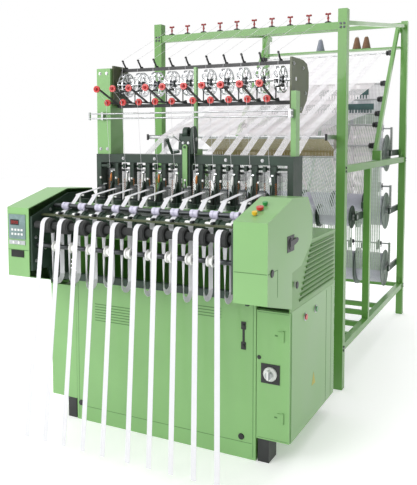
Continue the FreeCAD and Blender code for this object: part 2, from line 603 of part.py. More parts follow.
def creel():
    """Four posts and their rails, lease arms, guides, cones, bearings and warp beams."""
    half = "creel_tube / 2"
    posts = []
    for side in sides:
        x = span(side, f"creel_x - {half}", f"creel_x + {half}")
        for y, top in (("creel_front_y", "creel_front_z"), ("creel_rear_y", "creel_rear_z")):
            posts.append(tube(x, (f"{y} - {half}", f"{y} + {half}"), ("0", top), 2))
    piece("creel_posts", group(posts))
    side_rails, stands = [], []
    between = (f"creel_front_y + {half}", f"creel_rear_y - {half}")
    for side in sides:
        x = span(side, "creel_x - creel_rail / 2", "creel_x + creel_rail / 2")
        for z in ("creel_mid_z", "creel_base_z"):
            side_rails.append(block(x, between, (f"{z} - creel_rail / 2", f"{z} + creel_rail / 2")))
        stands.append(block(x, ("upright_y - creel_rail / 2", "upright_y + creel_rail / 2"),
                            ("creel_base_z + creel_rail / 2", "creel_mid_z - creel_rail / 2")))
        middle = side * value("creel_x")
        start = (middle, value("creel_front_y") + value("creel_tube") / 2 + 2,
                 value("top_rail_z") + 20)
        end = (middle, value("creel_rear_y") - value("creel_tube") / 2 - 2,
               value("creel_rear_z") - 40)
        side_rails.append(bar(start, end, 24, 24))
    piece("creel_side_rails", group([*side_rails, *stands]))
    inner = ("-(creel_x - creel_tube / 2)", "creel_x - creel_tube / 2")
    low = ("-(creel_x - creel_rail / 2)", "creel_x - creel_rail / 2")
    cross = [block(low, (f"{y} - 15", f"{y} + 15"), ("creel_base_z - 10", "creel_base_z + 20"))
             for y in (1235, 1489, 1771, 1997)]
    cross.append(block(inner, ("creel_front_y - 20", "creel_front_y + 20"),
                       ("top_rail_z - 20", "top_rail_z + 20")))
    cross.append(block(inner, ("creel_rear_y - 15", "creel_rear_y + 15"),
                       ("creel_rear_z - 40", "creel_rear_z - 10")))
    cross.append(block(inner, ("creel_rear_y - 15", "creel_rear_y + 15"),
                       ("creel_base_z - 15", "creel_base_z + 15")))
    cross.append(block(inner, ("creel_rear_y - 70", f"creel_rear_y + {half}"),
                       ("creel_rear_z - 212", "creel_rear_z - 200")))
    piece("creel_cross_bars", group(cross))
    guides = []
    for head in range(HEADS):
        x = (head - (HEADS - 1) / 2) * value("guide_pitch")
        base = "top_rail_z + 20"
        guides.append(fuse(rod("z", (x, "creel_front_y"), 15, base, f"{base} + 8"),
                           rod("z", (x, "creel_front_y"), 3.5, base, f"{base} + 52"),
                           block((x - 15, x + 15), ("creel_front_y - 4", "creel_front_y + 4"),
                                 (f"{base} + 46", f"{base} + 56"))))
    piece("thread_guides", group(guides))
    inside = "creel_x - 56"
    frames = []
    for side in sides:
        middle = side * (value("creel_x") - 44)
        top = (middle, LEASE_TOP[0], LEASE_TOP[1])
        foot = (middle, LEASE_FOOT[0], LEASE_FOOT[1])
        frames.append(fuse(
            bar(foot, top, 24, 40),
            block(span(side, inside, "creel_x"), ("1960", "2012"),
                  ("creel_mid_z + creel_rail / 2", "creel_mid_z + 85")),
            block(span(side, inside, f"creel_x - {half}"), ("2675", "creel_rear_y"),
                  ("creel_rear_z - 90", "creel_rear_z - 50"))))
    piece("lease_arms", group(frames))
    rods = []
    for y in LEASE_RODS:
        z = LEASE_FOOT[1] + (y - LEASE_FOOT[0]) * LEASE_SLOPE
        collars = [rod("x", (y, z), 17, *span(side, f"{inside} - 22", inside)) for side in sides]
        rods.append(fuse(rod("x", (y, z), 6, f"-({inside})", inside), *collars))
    arms = []
    for side in sides:
        x = span(side, f"creel_x - {half} - 15", f"creel_x - {half}")
        arms.append(block(x, ("warp_bar_y - 12", f"creel_front_y + {half}"),
                          ("warp_bar_z - 12", "warp_bar_z + 12")))
        arms.append(block(x, ("creel_front_y - 25", "creel_front_y + 15"),
                          ("warp_bar_z - 130", "warp_bar_z - 12")))
    bars = [rod("x", (y, z), radius, f"-(creel_x - {half} - 15)", f"creel_x - {half} - 15")
            for y, z, radius in (("warp_bar_y", "warp_bar_z", 8),
                                 ("creel_front_y - 12", "warp_bar_z - 80", 6),
                                 ("creel_front_y - 12", "warp_bar_z - 110", 6))]
    piece("lease_rods", group([*rods, *arms, *bars]))
    piece("thread_cones", group([cone("z", (x, "creel_rear_y - 25"), (36, 14),
                                      "creel_rear_z - 200", "creel_rear_z - 95")
                                 for x in CONES]))
    bearings = []
    bore = "beam_shaft_radius + journal_gap"
    for side in sides:
        rear_x = span(side, f"creel_x - {half} - 15", f"creel_x - {half}")
        for z in ("beam_low_z", "beam_mid_z", "beam_high_z"):
            arm = block(rear_x, ("beam_shaft_y - 25", f"creel_rear_y + {half}"),
                        (f"{z} - 22", f"{z} + 22"))
            bearings.append(cut(arm, rod("x", ("beam_shaft_y", z), bore, *rear_x)))
        front_x = span(side, "creel_x - creel_rail / 2 - 15", "creel_x - creel_rail / 2")
        for y, z in (("small_rear_y", "small_rear_z"), ("small_front_y", "small_front_z")):
            ends = ("upright_y - 20", f"{y} + 25") if y == "small_rear_y" else (
                f"{y} - 25", "upright_y + 20")
            arm = block(front_x, ends, (f"{z} - 20", f"{z} + 20"))
            bearings.append(cut(arm, rod("x", (y, z), bore, *front_x)))
    piece("beam_bearings", group(bearings))
    rear_reach = value("creel_x") - value("creel_tube") / 2
    front_reach = value("creel_x") - value("creel_rail") / 2
    shafts = (("rear_beam_low", "beam_shaft_y", "beam_low_z", "beam_radius", rear_reach),
              ("rear_beam_middle", "beam_shaft_y", "beam_mid_z", "beam_radius", rear_reach),
              ("rear_beam_high", "beam_shaft_y", "beam_high_z", "beam_radius", rear_reach),
              ("front_beam_rear", "small_rear_y", "small_rear_z", "small_beam_radius",
               front_reach),
              ("front_beam_front", "small_front_y", "small_front_z", "small_beam_radius",
               front_reach))
    for name, y, z, radius, reach in shafts:
        parts = [rod("x", (y, z), "beam_shaft_radius", -reach, reach)]
        pitch = 2 * (reach - 30) / BEAMS_PER_SHAFT
        for i in range(BEAMS_PER_SHAFT):
            middle = (i - (BEAMS_PER_SHAFT - 1) / 2) * pitch
            wide = pitch / 2 - 6
            parts.append(rod("x", (y, z), f"{radius} * 0.8", middle - wide, middle + wide))
            parts += [rod("x", (y, z), radius, edge - 3, edge + 3)
                      for edge in (middle - wide, middle + wide)]
        piece(name, fuse(*parts))


def warps():
    """Ten bands of warp from the top lease rod over the guide bar to the healds."""
    thick = 2
    y = LEASE_RODS[-1]
    top = (y, LEASE_FOOT[1] + (y - LEASE_FOOT[0]) * LEASE_SLOPE + 6.5 + thick / 2)
    over = arc((value("warp_bar_y"), value("warp_bar_z")), 8.5 + thick / 2, 80, 130, 4)
    eye = (value("heald_y") + 104, value("fell_z") + 35)
    cloth("warp_sheets", [ribbon([top, *over, eye], x, 44, thick) for x in heads])


def panels():
    """Display panel on the front of the left housing."""
    piece("display_panel", block(("-645", "-545"), ("housing_front_y - 3", "housing_front_y"),
                                 ("housing_base_z + 175", "housing_base_z + 290")))


def slope_z(y):
    """Height of the housings' sloping top at a place along Y."""
    rise = value("housing_top_z") - value("housing_brow_z")
    return value("housing_brow_z") + (y - value("housing_front_y")) * rise / (
        -9 - value("housing_front_y"))


def button(x, y, radius, start, stop):
    """A round bar square to the housings' sloping top, between two heights above it."""
    rise = value("housing_top_z") - value("housing_brow_z")
    tilt = math.degrees(math.atan2(rise, -9 - value("housing_front_y")))
    turn = FreeCAD.Rotation(FreeCAD.Vector(1, 0, 0), tilt)
    item = doc.addObject("Part::Cylinder", "button")
    item.Radius, item.Height = radius, stop - start
    base = FreeCAD.Vector(x, y + value("front_face_y"), slope_z(y))
    base += turn.multVec(FreeCAD.Vector(0, 0, start))
    item.Placement = FreeCAD.Placement(base, turn)
    return item


BUTTONS = (("stop_button", 570, -160, 15), ("start_button", 570, -105, 11),
           ("jog_button", 570, -215, 11))
SIDE_BUTTONS = (("side_stop_button", 194), ("side_start_button", 347))


def buttons():
    """Sprung push buttons: a cap on a stem through the sheet."""
    for name, x, y, radius in BUTTONS:
        piece(name, fuse(button(x, y, 6, -14, 6), button(x, y, radius, 5, 16)))
    for name, y in SIDE_BUTTONS:
        stem = rod("x", (y, "button_z"), 6, "half_width - 12", "half_width + 6")
        cap = rod("x", (y, "button_z"), 13, "half_width + 5", "half_width + 9")
        piece(name, fuse(stem, cap))


loom_body()
side_covers()
housings()
take_off()
tapes()
weaving()
feeder()
creel()
warps()
panels()
buttons()
doc.recompute()

broken = [item.Name for item in doc.Objects if {"Invalid", "Error"} & set(item.State)]
for item in pieces:
    if item.Shape.isNull() or not item.Shape.isValid():
        broken.append(item.Label)
if broken:
    raise RuntimeError("these objects failed: " + ", ".join(broken))
os.makedirs("parts", exist_ok=True)
for item in pieces:
    item.Shape.exportStep(f"parts/{item.Label}.step")
print(len(pieces), "sub-parts")
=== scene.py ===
"""Looks of the narrow fabric loom: enamel, castings, chrome, tapes, threads and small fittings."""
import json
import math

import bmesh
import bpy
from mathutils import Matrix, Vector


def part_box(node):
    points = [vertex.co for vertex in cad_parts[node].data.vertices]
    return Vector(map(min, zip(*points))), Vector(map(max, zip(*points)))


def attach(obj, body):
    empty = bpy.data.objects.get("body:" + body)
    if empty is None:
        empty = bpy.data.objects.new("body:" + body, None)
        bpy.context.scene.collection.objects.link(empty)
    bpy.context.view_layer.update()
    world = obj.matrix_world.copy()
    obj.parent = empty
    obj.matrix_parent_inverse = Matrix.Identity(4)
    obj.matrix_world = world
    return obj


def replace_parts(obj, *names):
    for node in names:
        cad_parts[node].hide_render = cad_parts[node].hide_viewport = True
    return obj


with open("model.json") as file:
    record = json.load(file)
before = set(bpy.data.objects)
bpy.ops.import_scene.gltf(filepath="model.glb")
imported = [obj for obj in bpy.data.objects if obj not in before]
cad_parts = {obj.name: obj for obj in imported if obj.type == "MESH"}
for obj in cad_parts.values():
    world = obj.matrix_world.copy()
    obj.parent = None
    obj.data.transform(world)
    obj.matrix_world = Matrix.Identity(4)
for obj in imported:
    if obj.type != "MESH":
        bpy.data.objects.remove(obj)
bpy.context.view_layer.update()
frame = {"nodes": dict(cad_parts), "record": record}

# places along Y are worked out from the cabinets' front face, as in the frame
FRONT_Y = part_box("front_panel")[0].y
HEADS = 10
HEAD_PITCH = 0.096
MIDDLE_PITCH = 0.117
TAPE_WIDE = 0.024
TAPE_FAN = 1.09
GUIDE_PITCH = 0.1105
REAR_BEAMS = ("rear_beam_low", "rear_beam_middle", "rear_beam_high")


def head_x(head):
    """Middle of one weaving head."""
    half = HEADS // 2
    side = 1 if head >= half else -1
    step = head - half if side > 0 else head - half + 1
    return side * MIDDLE_PITCH / 2 + step * HEAD_PITCH


heads = [head_x(head) for head in range(HEADS)]
gaps = [(a + b) / 2 for a, b in zip(heads, heads[1:])]
guide_places = [(head - (HEADS - 1) / 2) * GUIDE_PITCH for head in range(HEADS)]


def centre(node):
    """Middle of a node's box."""
    low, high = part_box(node)
    return (low + high) / 2


# ---------------------------------------------------------------- camera and light
CAMERA_PLACE = (1.571, FRONT_Y - 2.593, 1.430)
CAMERA_PITCH = 4.0
CAMERA_AZIMUTH = 26.74
FOCAL = 656.7 / 485
SHIFT = (-0.0036, -0.1254)


def make_camera():
    data = bpy.data.cameras.new("camera")
    data.sensor_width = 36
    data.lens = 36 * FOCAL
    data.shift_x, data.shift_y = SHIFT
    data.clip_end = 60
    camera = bpy.data.objects.new("camera", data)
    camera.location = CAMERA_PLACE
    camera.rotation_euler = (math.radians(90 - CAMERA_PITCH), 0, math.radians(CAMERA_AZIMUTH))
    bpy.context.scene.collection.objects.link(camera)
    bpy.context.scene.camera = camera


def area_light(name, place, target, size, power):
    data = bpy.data.lights.new(name, "AREA")
    data.shape, data.size, data.size_y, data.energy = "RECTANGLE", size, size, power
    light = bpy.data.objects.new(name, data)
    light.location = place
    aim = Vector(target) - Vector(place)
    light.rotation_euler = aim.to_track_quat("-Z", "Y").to_euler()
    bpy.context.scene.collection.objects.link(light)


def make_studio():
    """White room: bright in front and behind, darker to the right, so side faces read deeper."""
    scene = bpy.context.scene
    scene.world = bpy.data.worlds.new("studio")
    scene.view_settings.view_transform = "Standard"
    scene.world.use_nodes = True
    tree = scene.world.node_tree
    split = add_node(tree, "SeparateXYZ")
    tree.links.new(add_node(tree, "TexCoord").outputs["Generated"], split.inputs["Vector"])
    back = tree.nodes["Background"].inputs
    ramp(tree, split.outputs["X"], ((0.05, 1.0), (0.72, (0.23, 0.24, 0.23))), back["Color"])
    back["Strength"].default_value = 1.0
    area_light("key", (-2.2, -5.0, 3.4), (0, 0.0, 0.9), 3, 150)
    area_light("top", (-0.5, 1.0, 5.2), (0, 0.8, 0), 4, 60)
    area_light("side", (5.5, 0.5, 2.2), (0, 0.6, 0.9), 2, 14)
    area_light("rear", (0.5, 6.5, 3.0), (0, 1.0, 1.0), 3, 40)
    paint = plain_paint("floor_paint", (0.93, 0.93, 0.93), 0.8, 0.01, 3)
    glow = paint.node_tree.nodes["Principled BSDF"].inputs
    glow["Emission Color"].default_value = (1, 1, 1, 1)
    glow["Emission Strength"].default_value = 0.30
    floor = Shape().box((-14, -14, -0.02), (14, 14, -0.0005))
    floor.done("floor", None, paint, body=None)


# ---------------------------------------------------------------- mesh and curve tools
def mirrored(*half):
    """A turned profile from its first end to the middle, and the same back to the far end."""
    return [*half, *((1 - share, radius) for share, radius in half[::-1] if share < 0.5)]


def coil(foot, radius, step, turns):
    """Points of a spring, eight to a turn, up from its foot."""
    x, y, z = foot
    return [(x + radius * math.cos(i * math.pi / 4), y + radius * math.sin(i * math.pi / 4),
             z + i * step) for i in range(8 * turns + 1)]


class Shape:
    """Collects blocks, round bars and rings into one mesh piece."""

    def __init__(self):
        self.mesh = bmesh.new()

    def box(self, low, high):
        corners = [self.mesh.verts.new((x, y, z)) for x in (low[0], high[0])
                   for y in (low[1], high[1]) for z in (low[2], high[2])]
        for face in ((0, 1, 3, 2), (4, 6, 7, 5), (0, 4, 5, 1), (2, 3, 7, 6), (0, 2, 6, 4),
                     (1, 5, 7, 3)):
            self.mesh.faces.new([corners[i] for i in face])
        return self

    def skin(self, rings):
        """Faces between rows of corners, closed at both ends."""
        for first, second in zip(rings, rings[1:]):
            for i in range(len(first)):
                j = (i + 1) % len(first)
                self.mesh.faces.new((first[i], first[j], second[j], second[i]))
        self.mesh.faces.new(rings[0][::-1])
        self.mesh.faces.new(rings[-1])
        return self

    def turned(self, start, end, profile, sides=24):
        """A turned body: profile is (share of the length, radius) from start to end."""
        start, end = Vector(start), Vector(end)
        turn = (end - start).to_track_quat("Z", "Y")
        angles = [2 * math.pi * i / sides for i in range(sides)]
        return self.skin([[self.mesh.verts.new(start.lerp(end, share) + turn @ Vector(
            (r * math.cos(a), r * math.sin(a), 0))) for a in angles] for share, r in profile])

    def across(self, x, reach, y, z, profile, sides=24):
        """A turned body along X, as far as reach to both sides of x."""
        return self.turned((x - reach, y, z), (x + reach, y, z), profile, sides)

    def bar(self, start, end, radius, radius_end=None, sides=16):
        """A round bar or taper between two points."""
        last = radius if radius_end is None else radius_end
        return self.turned(start, end, ((0, radius), (1, last)), sides)

    def plate(self, points, low, high):
        """A flat plate drawn as (y, z) points, between two places along X."""
        return self.skin([[self.mesh.verts.new((x, y, z)) for y, z in points]
                          for x in (low, high)])

    def strip(self, path, x, wide, thick, drift=None, twist=None):
        """A closed strip of cloth along (y, z) points.

        drift gives each point's own x, and twist its turn about the path, in radians.
        """
        rows = []
        for i, (y, z) in enumerate(path):
            before, after = path[max(i - 1, 0)], path[min(i + 1, len(path) - 1)]
            along = math.hypot(after[0] - before[0], after[1] - before[1])
            across = (-(after[1] - before[1]) / along, (after[0] - before[0]) / along)
            row = []
            middle = drift[i] if drift else x
            turn = twist[i] if twist else 0.0
            for side, shift in ((-1, 1), (1, 1), (1, -1), (-1, -1)):
                flat, lift = side * wide / 2, shift * thick / 2
                out = flat * math.sin(turn) + lift * math.cos(turn)
                row.append(self.mesh.verts.new((
                    middle + flat * math.cos(turn) - lift * math.sin(turn),
                    y + across[0] * out, z + across[1] * out)))
            rows.append(row)
        return self.skin(rows)

    def done(self, name, slot, finish=None, bevel=0.0, body="frame"):
        """The finished piece: its slot's own paint unless a finish is given, riding on a body."""
        bmesh.ops.recalc_face_normals(self.mesh, faces=self.mesh.faces)
        data = bpy.data.meshes.new(name)
        self.mesh.to_mesh(data)
        self.mesh.free()
        item = bpy.data.objects.new(name, data)
        bpy.context.scene.collection.objects.link(item)
        data.materials.append(finish or paints[slot])
        data.polygons.foreach_set("use_smooth", [True] * len(data.polygons))
        data.set_sharp_from_angle(angle=math.radians(35))
        if bevel:
            edge = item.modifiers.new("edge", "BEVEL")
            edge.width, edge.segments, edge.limit_method = bevel, 2, "ANGLE"
            edge.harden_normals = True
        if body:
            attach(item, body)
        return item


def wires(name, paths, radius, body, material):
    """Thin round lines, each through its own points."""
    data = bpy.data.curves.new(name, "CURVE")
    data.dimensions = "3D"
    data.bevel_depth, data.bevel_resolution = radius, 1
    for path in paths:
        line = data.splines.new("POLY")
        line.points.add(len(path) - 1)
        for point, place in zip(line.points, path):
            point.co = (*place, 1)
    item = bpy.data.objects.new(name, data)
    bpy.context.scene.collection.objects.link(item)
    data.materials.append(material)
    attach(item, body)


# ---------------------------------------------------------------- materials
def new_material(name, metal=0.0, coat=0.0, sheen=0.0):
    material = bpy.data.materials.new(name)
    material.use_nodes = True
    shader = material.node_tree.nodes["Principled BSDF"]
    shader.inputs["Metallic"].default_value = metal
    shader.inputs["Coat Weight"].default_value = coat
    shader.inputs["Sheen Weight"].default_value = sheen
    return material, material.node_tree, shader


def add_node(tree, kind, values=None):
    """A shader node with its sockets' values."""
    node = tree.nodes.new("ShaderNode" + kind)
    for socket, value in (values or {}).items():
        node.inputs[socket].default_value = value
    return node


def noise(tree, scale, detail=4.0, stretch=(1, 1, 1)):
    """Noise in the object's own coordinates."""
    place = add_node(tree, "TexCoord")
    mapping = add_node(tree, "Mapping", {"Scale": stretch})
    cloud = add_node(tree, "TexNoise", {"Scale": scale, "Detail": detail})
    tree.links.new(place.outputs["Object"], mapping.inputs["Vector"])
    tree.links.new(mapping.outputs["Vector"], cloud.inputs["Vector"])
    return cloud.outputs["Fac"]


def wave(tree, direction, pitch, values):
    """Bands along one of the object's axes, a pitch apart."""
    place = add_node(tree, "TexCoord")
    bands = add_node(tree, "TexWave", {"Scale": 0.314 / pitch, **values})
    bands.bands_direction = direction
    tree.links.new(place.outputs["Object"], bands.inputs["Vector"])
    return bands.outputs["Fac"]


def ramp(tree, source, stops, target):
    """Colours, or greys given as one number, picked by a value and led to a socket."""
    node = add_node(tree, "ValToRGB")
    for element, (place, colour) in zip(node.color_ramp.elements, stops):
        element.position = place
        element.color = (*(colour if isinstance(colour, tuple) else (colour,) * 3), 1)
    tree.links.new(source, node.inputs["Fac"])
    tree.links.new(node.outputs["Color"], target)


def shade(colour, factor):
    return tuple(min(1.0, c * factor) for c in colour)


def bump(tree, shader, source, strength, distance):
    node = add_node(tree, "Bump", {"Strength": strength, "Distance": distance})
    tree.links.new(source, node.inputs["Height"])
    tree.links.new(node.outputs["Normal"], shader.inputs["Normal"])


def plain_paint(name, colour, rough, vary=0.06, scale=6.0, metal=0.0, coat=0.0, grain=0.15,
                grain_scale=420.0):
    """Painted or moulded surface: slow colour drift, uneven gloss and a fine skin."""
    material, tree, shader = new_material(name, metal, coat)
    drift = noise(tree, scale)
    ramp(tree, drift, ((0.3, shade(colour, 1 - vary)), (0.7, shade(colour, 1 + vary))),
         shader.inputs["Base Color"])
    ramp(tree, drift, ((0.25, rough * 0.8), (0.8, min(1, rough * 1.25))),
         shader.inputs["Roughness"])
    bump(tree, shader, noise(tree, grain_scale, 2.0), grain, 0.0004)
    return material


def brushed(name, colour, rough, along, metal=1.0):
    """Metal with fine scratches running along one axis."""
    material, tree, shader = new_material(name, metal)
    stretch = [4.0 if axis == along else 260.0 for axis in "xyz"]
    grain = noise(tree, 1.0, 3.0, stretch)
    ramp(tree, grain, ((0.3, shade(colour, 0.82)), (0.75, colour)), shader.inputs["Base Color"])
    ramp(tree, grain, ((0.3, rough * 0.7), (0.7, rough * 1.3)), shader.inputs["Roughness"])
    bump(tree, shader, grain, 0.12, 0.0003)
    return material


def banded(name, colour, dark, along, pitch, rough, metal=0.0, sheen=0.0):
    """Surface with even ribs or wound turns: bands across one axis, a little uneven."""
    material, tree, shader = new_material(name, metal, 0.0, sheen)
    ribs = wave(tree, along.upper(), pitch,
                {"Distortion": 0.6, "Detail": 2.0, "Detail Scale": 3.0})
    drift = noise(tree, 9.0)
    mix = add_node(tree, "Mix", {"Factor": 0.5})
    mix.data_type, mix.blend_type = "RGBA", "MULTIPLY"
    # the dark stop falls in the grooves between ribs and turns: painted shade on top of the relief
    ramp(tree, ribs, ((0.15, dark), (0.6, colour)), mix.inputs[6])
    ramp(tree, drift, ((0.3, 0.8), (0.7, 1.0)), mix.inputs[7])
    tree.links.new(mix.outputs[2], shader.inputs["Base Color"])
    ramp(tree, drift, ((0.3, rough * 0.85), (0.7, rough)), shader.inputs["Roughness"])
    bump(tree, shader, ribs, 0.8, 0.001)
    return material


def woven(name, colour, across=0.0022, along=0.03, rough=0.6):
    """Plain weave: warp ribs crossed by weft picks, both as colour and relief."""
    material, tree, shader = new_material(name, 0.0, 0.0, 0.35)
    both = add_node(tree, "Math")
    both.operation = "ADD"
    for socket, (direction, pitch) in zip(both.inputs, (("X", across), ("Z", along))):
        tree.links.new(wave(tree, direction, pitch, {"Distortion": 0.3}), socket)
    # the darker colour in the dips between warp and weft is painted shade on top of the relief
    ramp(tree, both.outputs[0], ((0.1, shade(colour, 0.86)), (0.8, colour)),
         shader.inputs["Base Color"])
    ramp(tree, noise(tree, 30.0), ((0.3, rough * 0.85), (0.7, rough)),
         shader.inputs["Roughness"])
    bump(tree, shader, both.outputs[0], 0.5, 0.0004)
    return material


def wound(name, colour, dark, along="x", pitch=0.003, rough=0.62):
    """Yarn wound on a beam or a cone."""
    return banded(name, colour, dark, along, pitch, rough, sheen=0.3)


def plastic(name, colour, vary=0.1, scale=30.0, rough=0.3, coat=0.4):
    """Glossy moulded plastic."""
    return plain_paint(name, colour, rough, vary, scale, coat=coat)


# how each of the frame's material slots looks
paints = {
    "pale_green": plain_paint("pale_green_enamel", (0.212, 0.425, 0.152), 0.36, 0.05, 3.0,
                              coat=0.25),
    # green is the pale green enamel painted darker: painted shade for the side faces turned away
    # from the key light
    "green": plain_paint("green_enamel", (0.126, 0.318, 0.064), 0.38, 0.07, 3.0, coat=0.25),
    "dark_casting": plain_paint("dark_casting", (0.022, 0.045, 0.030), 0.48, 0.3, 14.0,
                                grain=0.5, grain_scale=150.0),
    "black_paint": plain_paint("black_paint", (0.018, 0.019, 0.02), 0.4, 0.25, 20.0),
    "olive_plate": plain_paint("olive_plate", (0.07, 0.085, 0.035), 0.42, 0.2, 12.0, coat=0.2),
    "dark_rubber": banded("ground_rubber", (0.03, 0.033, 0.032), (0.012, 0.013, 0.013), "x",
                          0.004, 0.62),
    "grip_roller": banded("grooved_roller", (0.035, 0.075, 0.045), (0.01, 0.022, 0.014), "x",
                          0.006, 0.45, 0.2),
    "lilac_sleeve": plastic("lilac_sleeve", (0.60, 0.58, 0.72), 0.08, 20.0, 0.4, 0.3),
    "steel": brushed("brushed_steel", (0.56, 0.57, 0.58), 0.32, "x"),
    "chrome": plain_paint("chrome", (0.80, 0.81, 0.83), 0.12, 0.08, 12.0, metal=1.0, grain=0.05),
    "white_plastic": plastic("white_plastic", (0.86, 0.86, 0.84), 0.04, 20.0),
    # the white tapes are painted grey-lavender: painted shade, which also sets them apart from the
    # white floor and backdrop
    "white_tape": woven("woven_tape_painted_shade", (0.76, 0.76, 0.79), 0.0012, 0.0016, 0.75),
    "warp_yarn": woven("warp_yarn", (0.90, 0.87, 0.91)),
    "wound_beam": wound("wound_yarn", (0.72, 0.71, 0.80), (0.42, 0.42, 0.52)),
    "cone_yarn": wound("cone_yarn", (0.26, 0.13, 0.06), (0.12, 0.055, 0.025), "z", 0.0022, 0.7),
    "red_plastic": plastic("red_plastic", (0.58, 0.022, 0.016)),
    "green_plastic": plastic("green_plastic", (0.02, 0.26, 0.05)),
    "yellow_plastic": plastic("yellow_plastic", (0.80, 0.48, 0.02)),
    "switch_plate": plain_paint("switch_grey", (0.42, 0.44, 0.45), 0.35, 0.08, 30.0),
    "panel_film": plastic("panel_film", (0.15, 0.23, 0.225), 0.1, 20.0, 0.25, 0.5),
}
shadow_paint = plain_paint("dark_inside", (0.008, 0.010, 0.008), 0.7, 0.2, 20.0)
white_enamel = plastic("white_enamel", (0.72, 0.74, 0.72), 0.06, 10.0, 0.35, 0.3)
dark_steel = brushed("dark_steel", (0.075, 0.082, 0.085), 0.36, "x", 0.8)
seam_paint = plain_paint("seam_shadow", (0.085, 0.20, 0.062), 0.6, 0.1, 12.0)
faded_yellow = plain_paint("faded_yellow", (0.46, 0.42, 0.045), 0.45, 0.15, 18.0)
thread_white = plain_paint("white_thread", (0.74, 0.73, 0.76), 0.6, 0.05, 40.0)
dark_red = plain_paint("dark_red", (0.30, 0.010, 0.010), 0.35, 0.1, 30.0)
pink_yarn = woven("pink_white_yarn", (0.94, 0.88, 0.91))
cloud_yarn = woven("cloud_yarn", (0.70, 0.72, 0.76))
mist_yarn = woven("mist_yarn", (0.50, 0.59, 0.50))
# the warp's golden brown below the guide bar is partly painted shade on the yarn and partly the
# brass of the drop wires
shaded_gold_yarn = woven("golden_yarn", (0.30, 0.235, 0.085), 0.0022, 0.012, 0.65)
lilac_yarn = wound("lilac_yarn", (0.70, 0.68, 0.80), (0.45, 0.43, 0.56))
slate_yarn = wound("slate_yarn", (0.30, 0.33, 0.40), (0.17, 0.19, 0.24), "z", 0.0022, 0.7)
grey_flange = plain_paint("grey_flange", (0.17, 0.21, 0.19), 0.42, 0.12, 12.0, coat=0.2)
dark_teal = plain_paint("dark_teal", (0.045, 0.12, 0.115), 0.4, 0.2, 16.0, coat=0.2)
copper = brushed("copper_orange", (0.55, 0.20, 0.05), 0.4, "z", 0.6)


def dress_cad():
    """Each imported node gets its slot's finish."""
    for part in frame["record"]["subparts"]:
        node = frame["nodes"][part["node"]]
        for slot in node.material_slots:
            slot.material = paints[part["material_slot"]]


# ---------------------------------------------------------------- tapes and warp
def arc(middle, radius, start, stop, steps):
    """(y, z) points round a middle, angles in degrees from +Y."""
    turns = [math.radians(start + (stop - start) * i / steps) for i in range(steps + 1)]
    return [(middle[0] + radius * math.cos(a), middle[1] + radius * math.sin(a)) for a in turns]


def path_length(path):
    return sum(math.dist(a, b) for a, b in zip(path, path[1:]))


def make_tapes():
    """Each tape: fell, guide, take-up wrap, hanging loop, front roller, then the long fall."""
    takeup, front, guide = centre("takeup_roller"), centre("front_roller"), centre("tape_guides")
    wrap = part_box("takeup_roller")[1].z - takeup.z + 0.0011
    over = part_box("front_roller")[1].z - front.z + 0.0015
    low_runs, high_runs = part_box("tape_runs")
    low_falls, guide_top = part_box("tape_falls")[0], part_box("tape_guides")[1].z
    behind, strand = front.y + over, takeup.y - wrap
    radius, steps = (strand - behind) / 2, 22
    for index, x in enumerate(heads):
        lift = 0.012 * math.sin(index * 2.4)
        loop = (behind + radius, low_runs.z + radius + 0.014 + lift)
        path = [(high_runs.y - 0.001, high_runs.z - 0.004), (guide.y + 0.012, guide_top + 0.0035),
            (guide.y - 0.004, guide_top + 0.002), (takeup.y + 0.024, takeup.z + wrap + 0.004),
            (takeup.y + 0.008, takeup.z + wrap + 0.0003), *arc((takeup.y, takeup.z), wrap, 90, 180,
            10), *arc(loop, radius, 0, -180, 14), *arc((front.y, front.z), over, 0, 180, 16)]
        top, foot = path[-1], (low_falls.y + 0.003, low_falls.z + 0.003)
        drift = [x] * len(path)
        for i in range(1, steps + 1):
            share = i / steps
            path.append((top[0] + (foot[0] - top[0]) * share, top[1] + (foot[1] - top[1]) * share))
            drift.append(x * (1 + (TAPE_FAN - 1) * share))
        # the strands that hang side by side stand on edge, so that each loop looks narrow
        twist = [0.0] * 16 + [1.22] * 15 + [0.0] * (len(path) - 31)
        tape = Shape().strip(path, x, TAPE_WIDE, 0.0012, drift, twist).done(f"tape_{index}",
            "white_tape")
        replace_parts(tape, "tape_runs", "tape_falls")


def make_warp():
    """Ten bands of warp as parallel strips of yarn, over the guide bar to the healds."""
    low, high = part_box("warp_sheets")
    bar = (FRONT_Y + 0.800, 1.4325)
    strands, pitch, wide = 9, 0.0048, 0.0030
    path = [(high.y - 0.002, high.z - 0.004), bar, (low.y + 0.002, low.z + 0.003)]
    for index, x in enumerate(heads):
        band = Shape()
        for i in range(strands):
            band.strip(path, x + (i - (strands - 1) / 2) * pitch, wide, 0.0008)
        sheet = band.done(f"warp_band_{index}", "warp_yarn")
        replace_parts(sheet, "warp_sheets")


# ---------------------------------------------------------------- rollers and heads
def long_roller(node, name, radii, finish):
    """A turned roller along X: radii is a list of (x, radius), riding its own body."""
    low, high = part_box(node)
    middle, wide = (low + high) / 2, high.x - low.x
    profile = [((x - low.x) / wide, radius) for x, radius in radii]
    roller = Shape().across(middle.x, wide / 2, middle.y, middle.z, profile, 32)
    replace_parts(roller.done(name, node_slot(node), finish, 0.0006, node), node)


def node_slot(node):
    """The record's slot of a node."""
    parts = frame["record"]["subparts"]
    return next(part["material_slot"] for part in parts if part["node"] == node)


def collar_rows(places, reach, small, large, lip=0.003):
    """(x, radius) steps of a shaft with a raised collar round each place."""
    rows = []
    for x in places:
        left, right = x - reach, x + reach
        rows += [(left, small), (left, large - lip), (left + lip, large), (right - lip, large),
            (right, large - lip), (right, small)]
    return rows


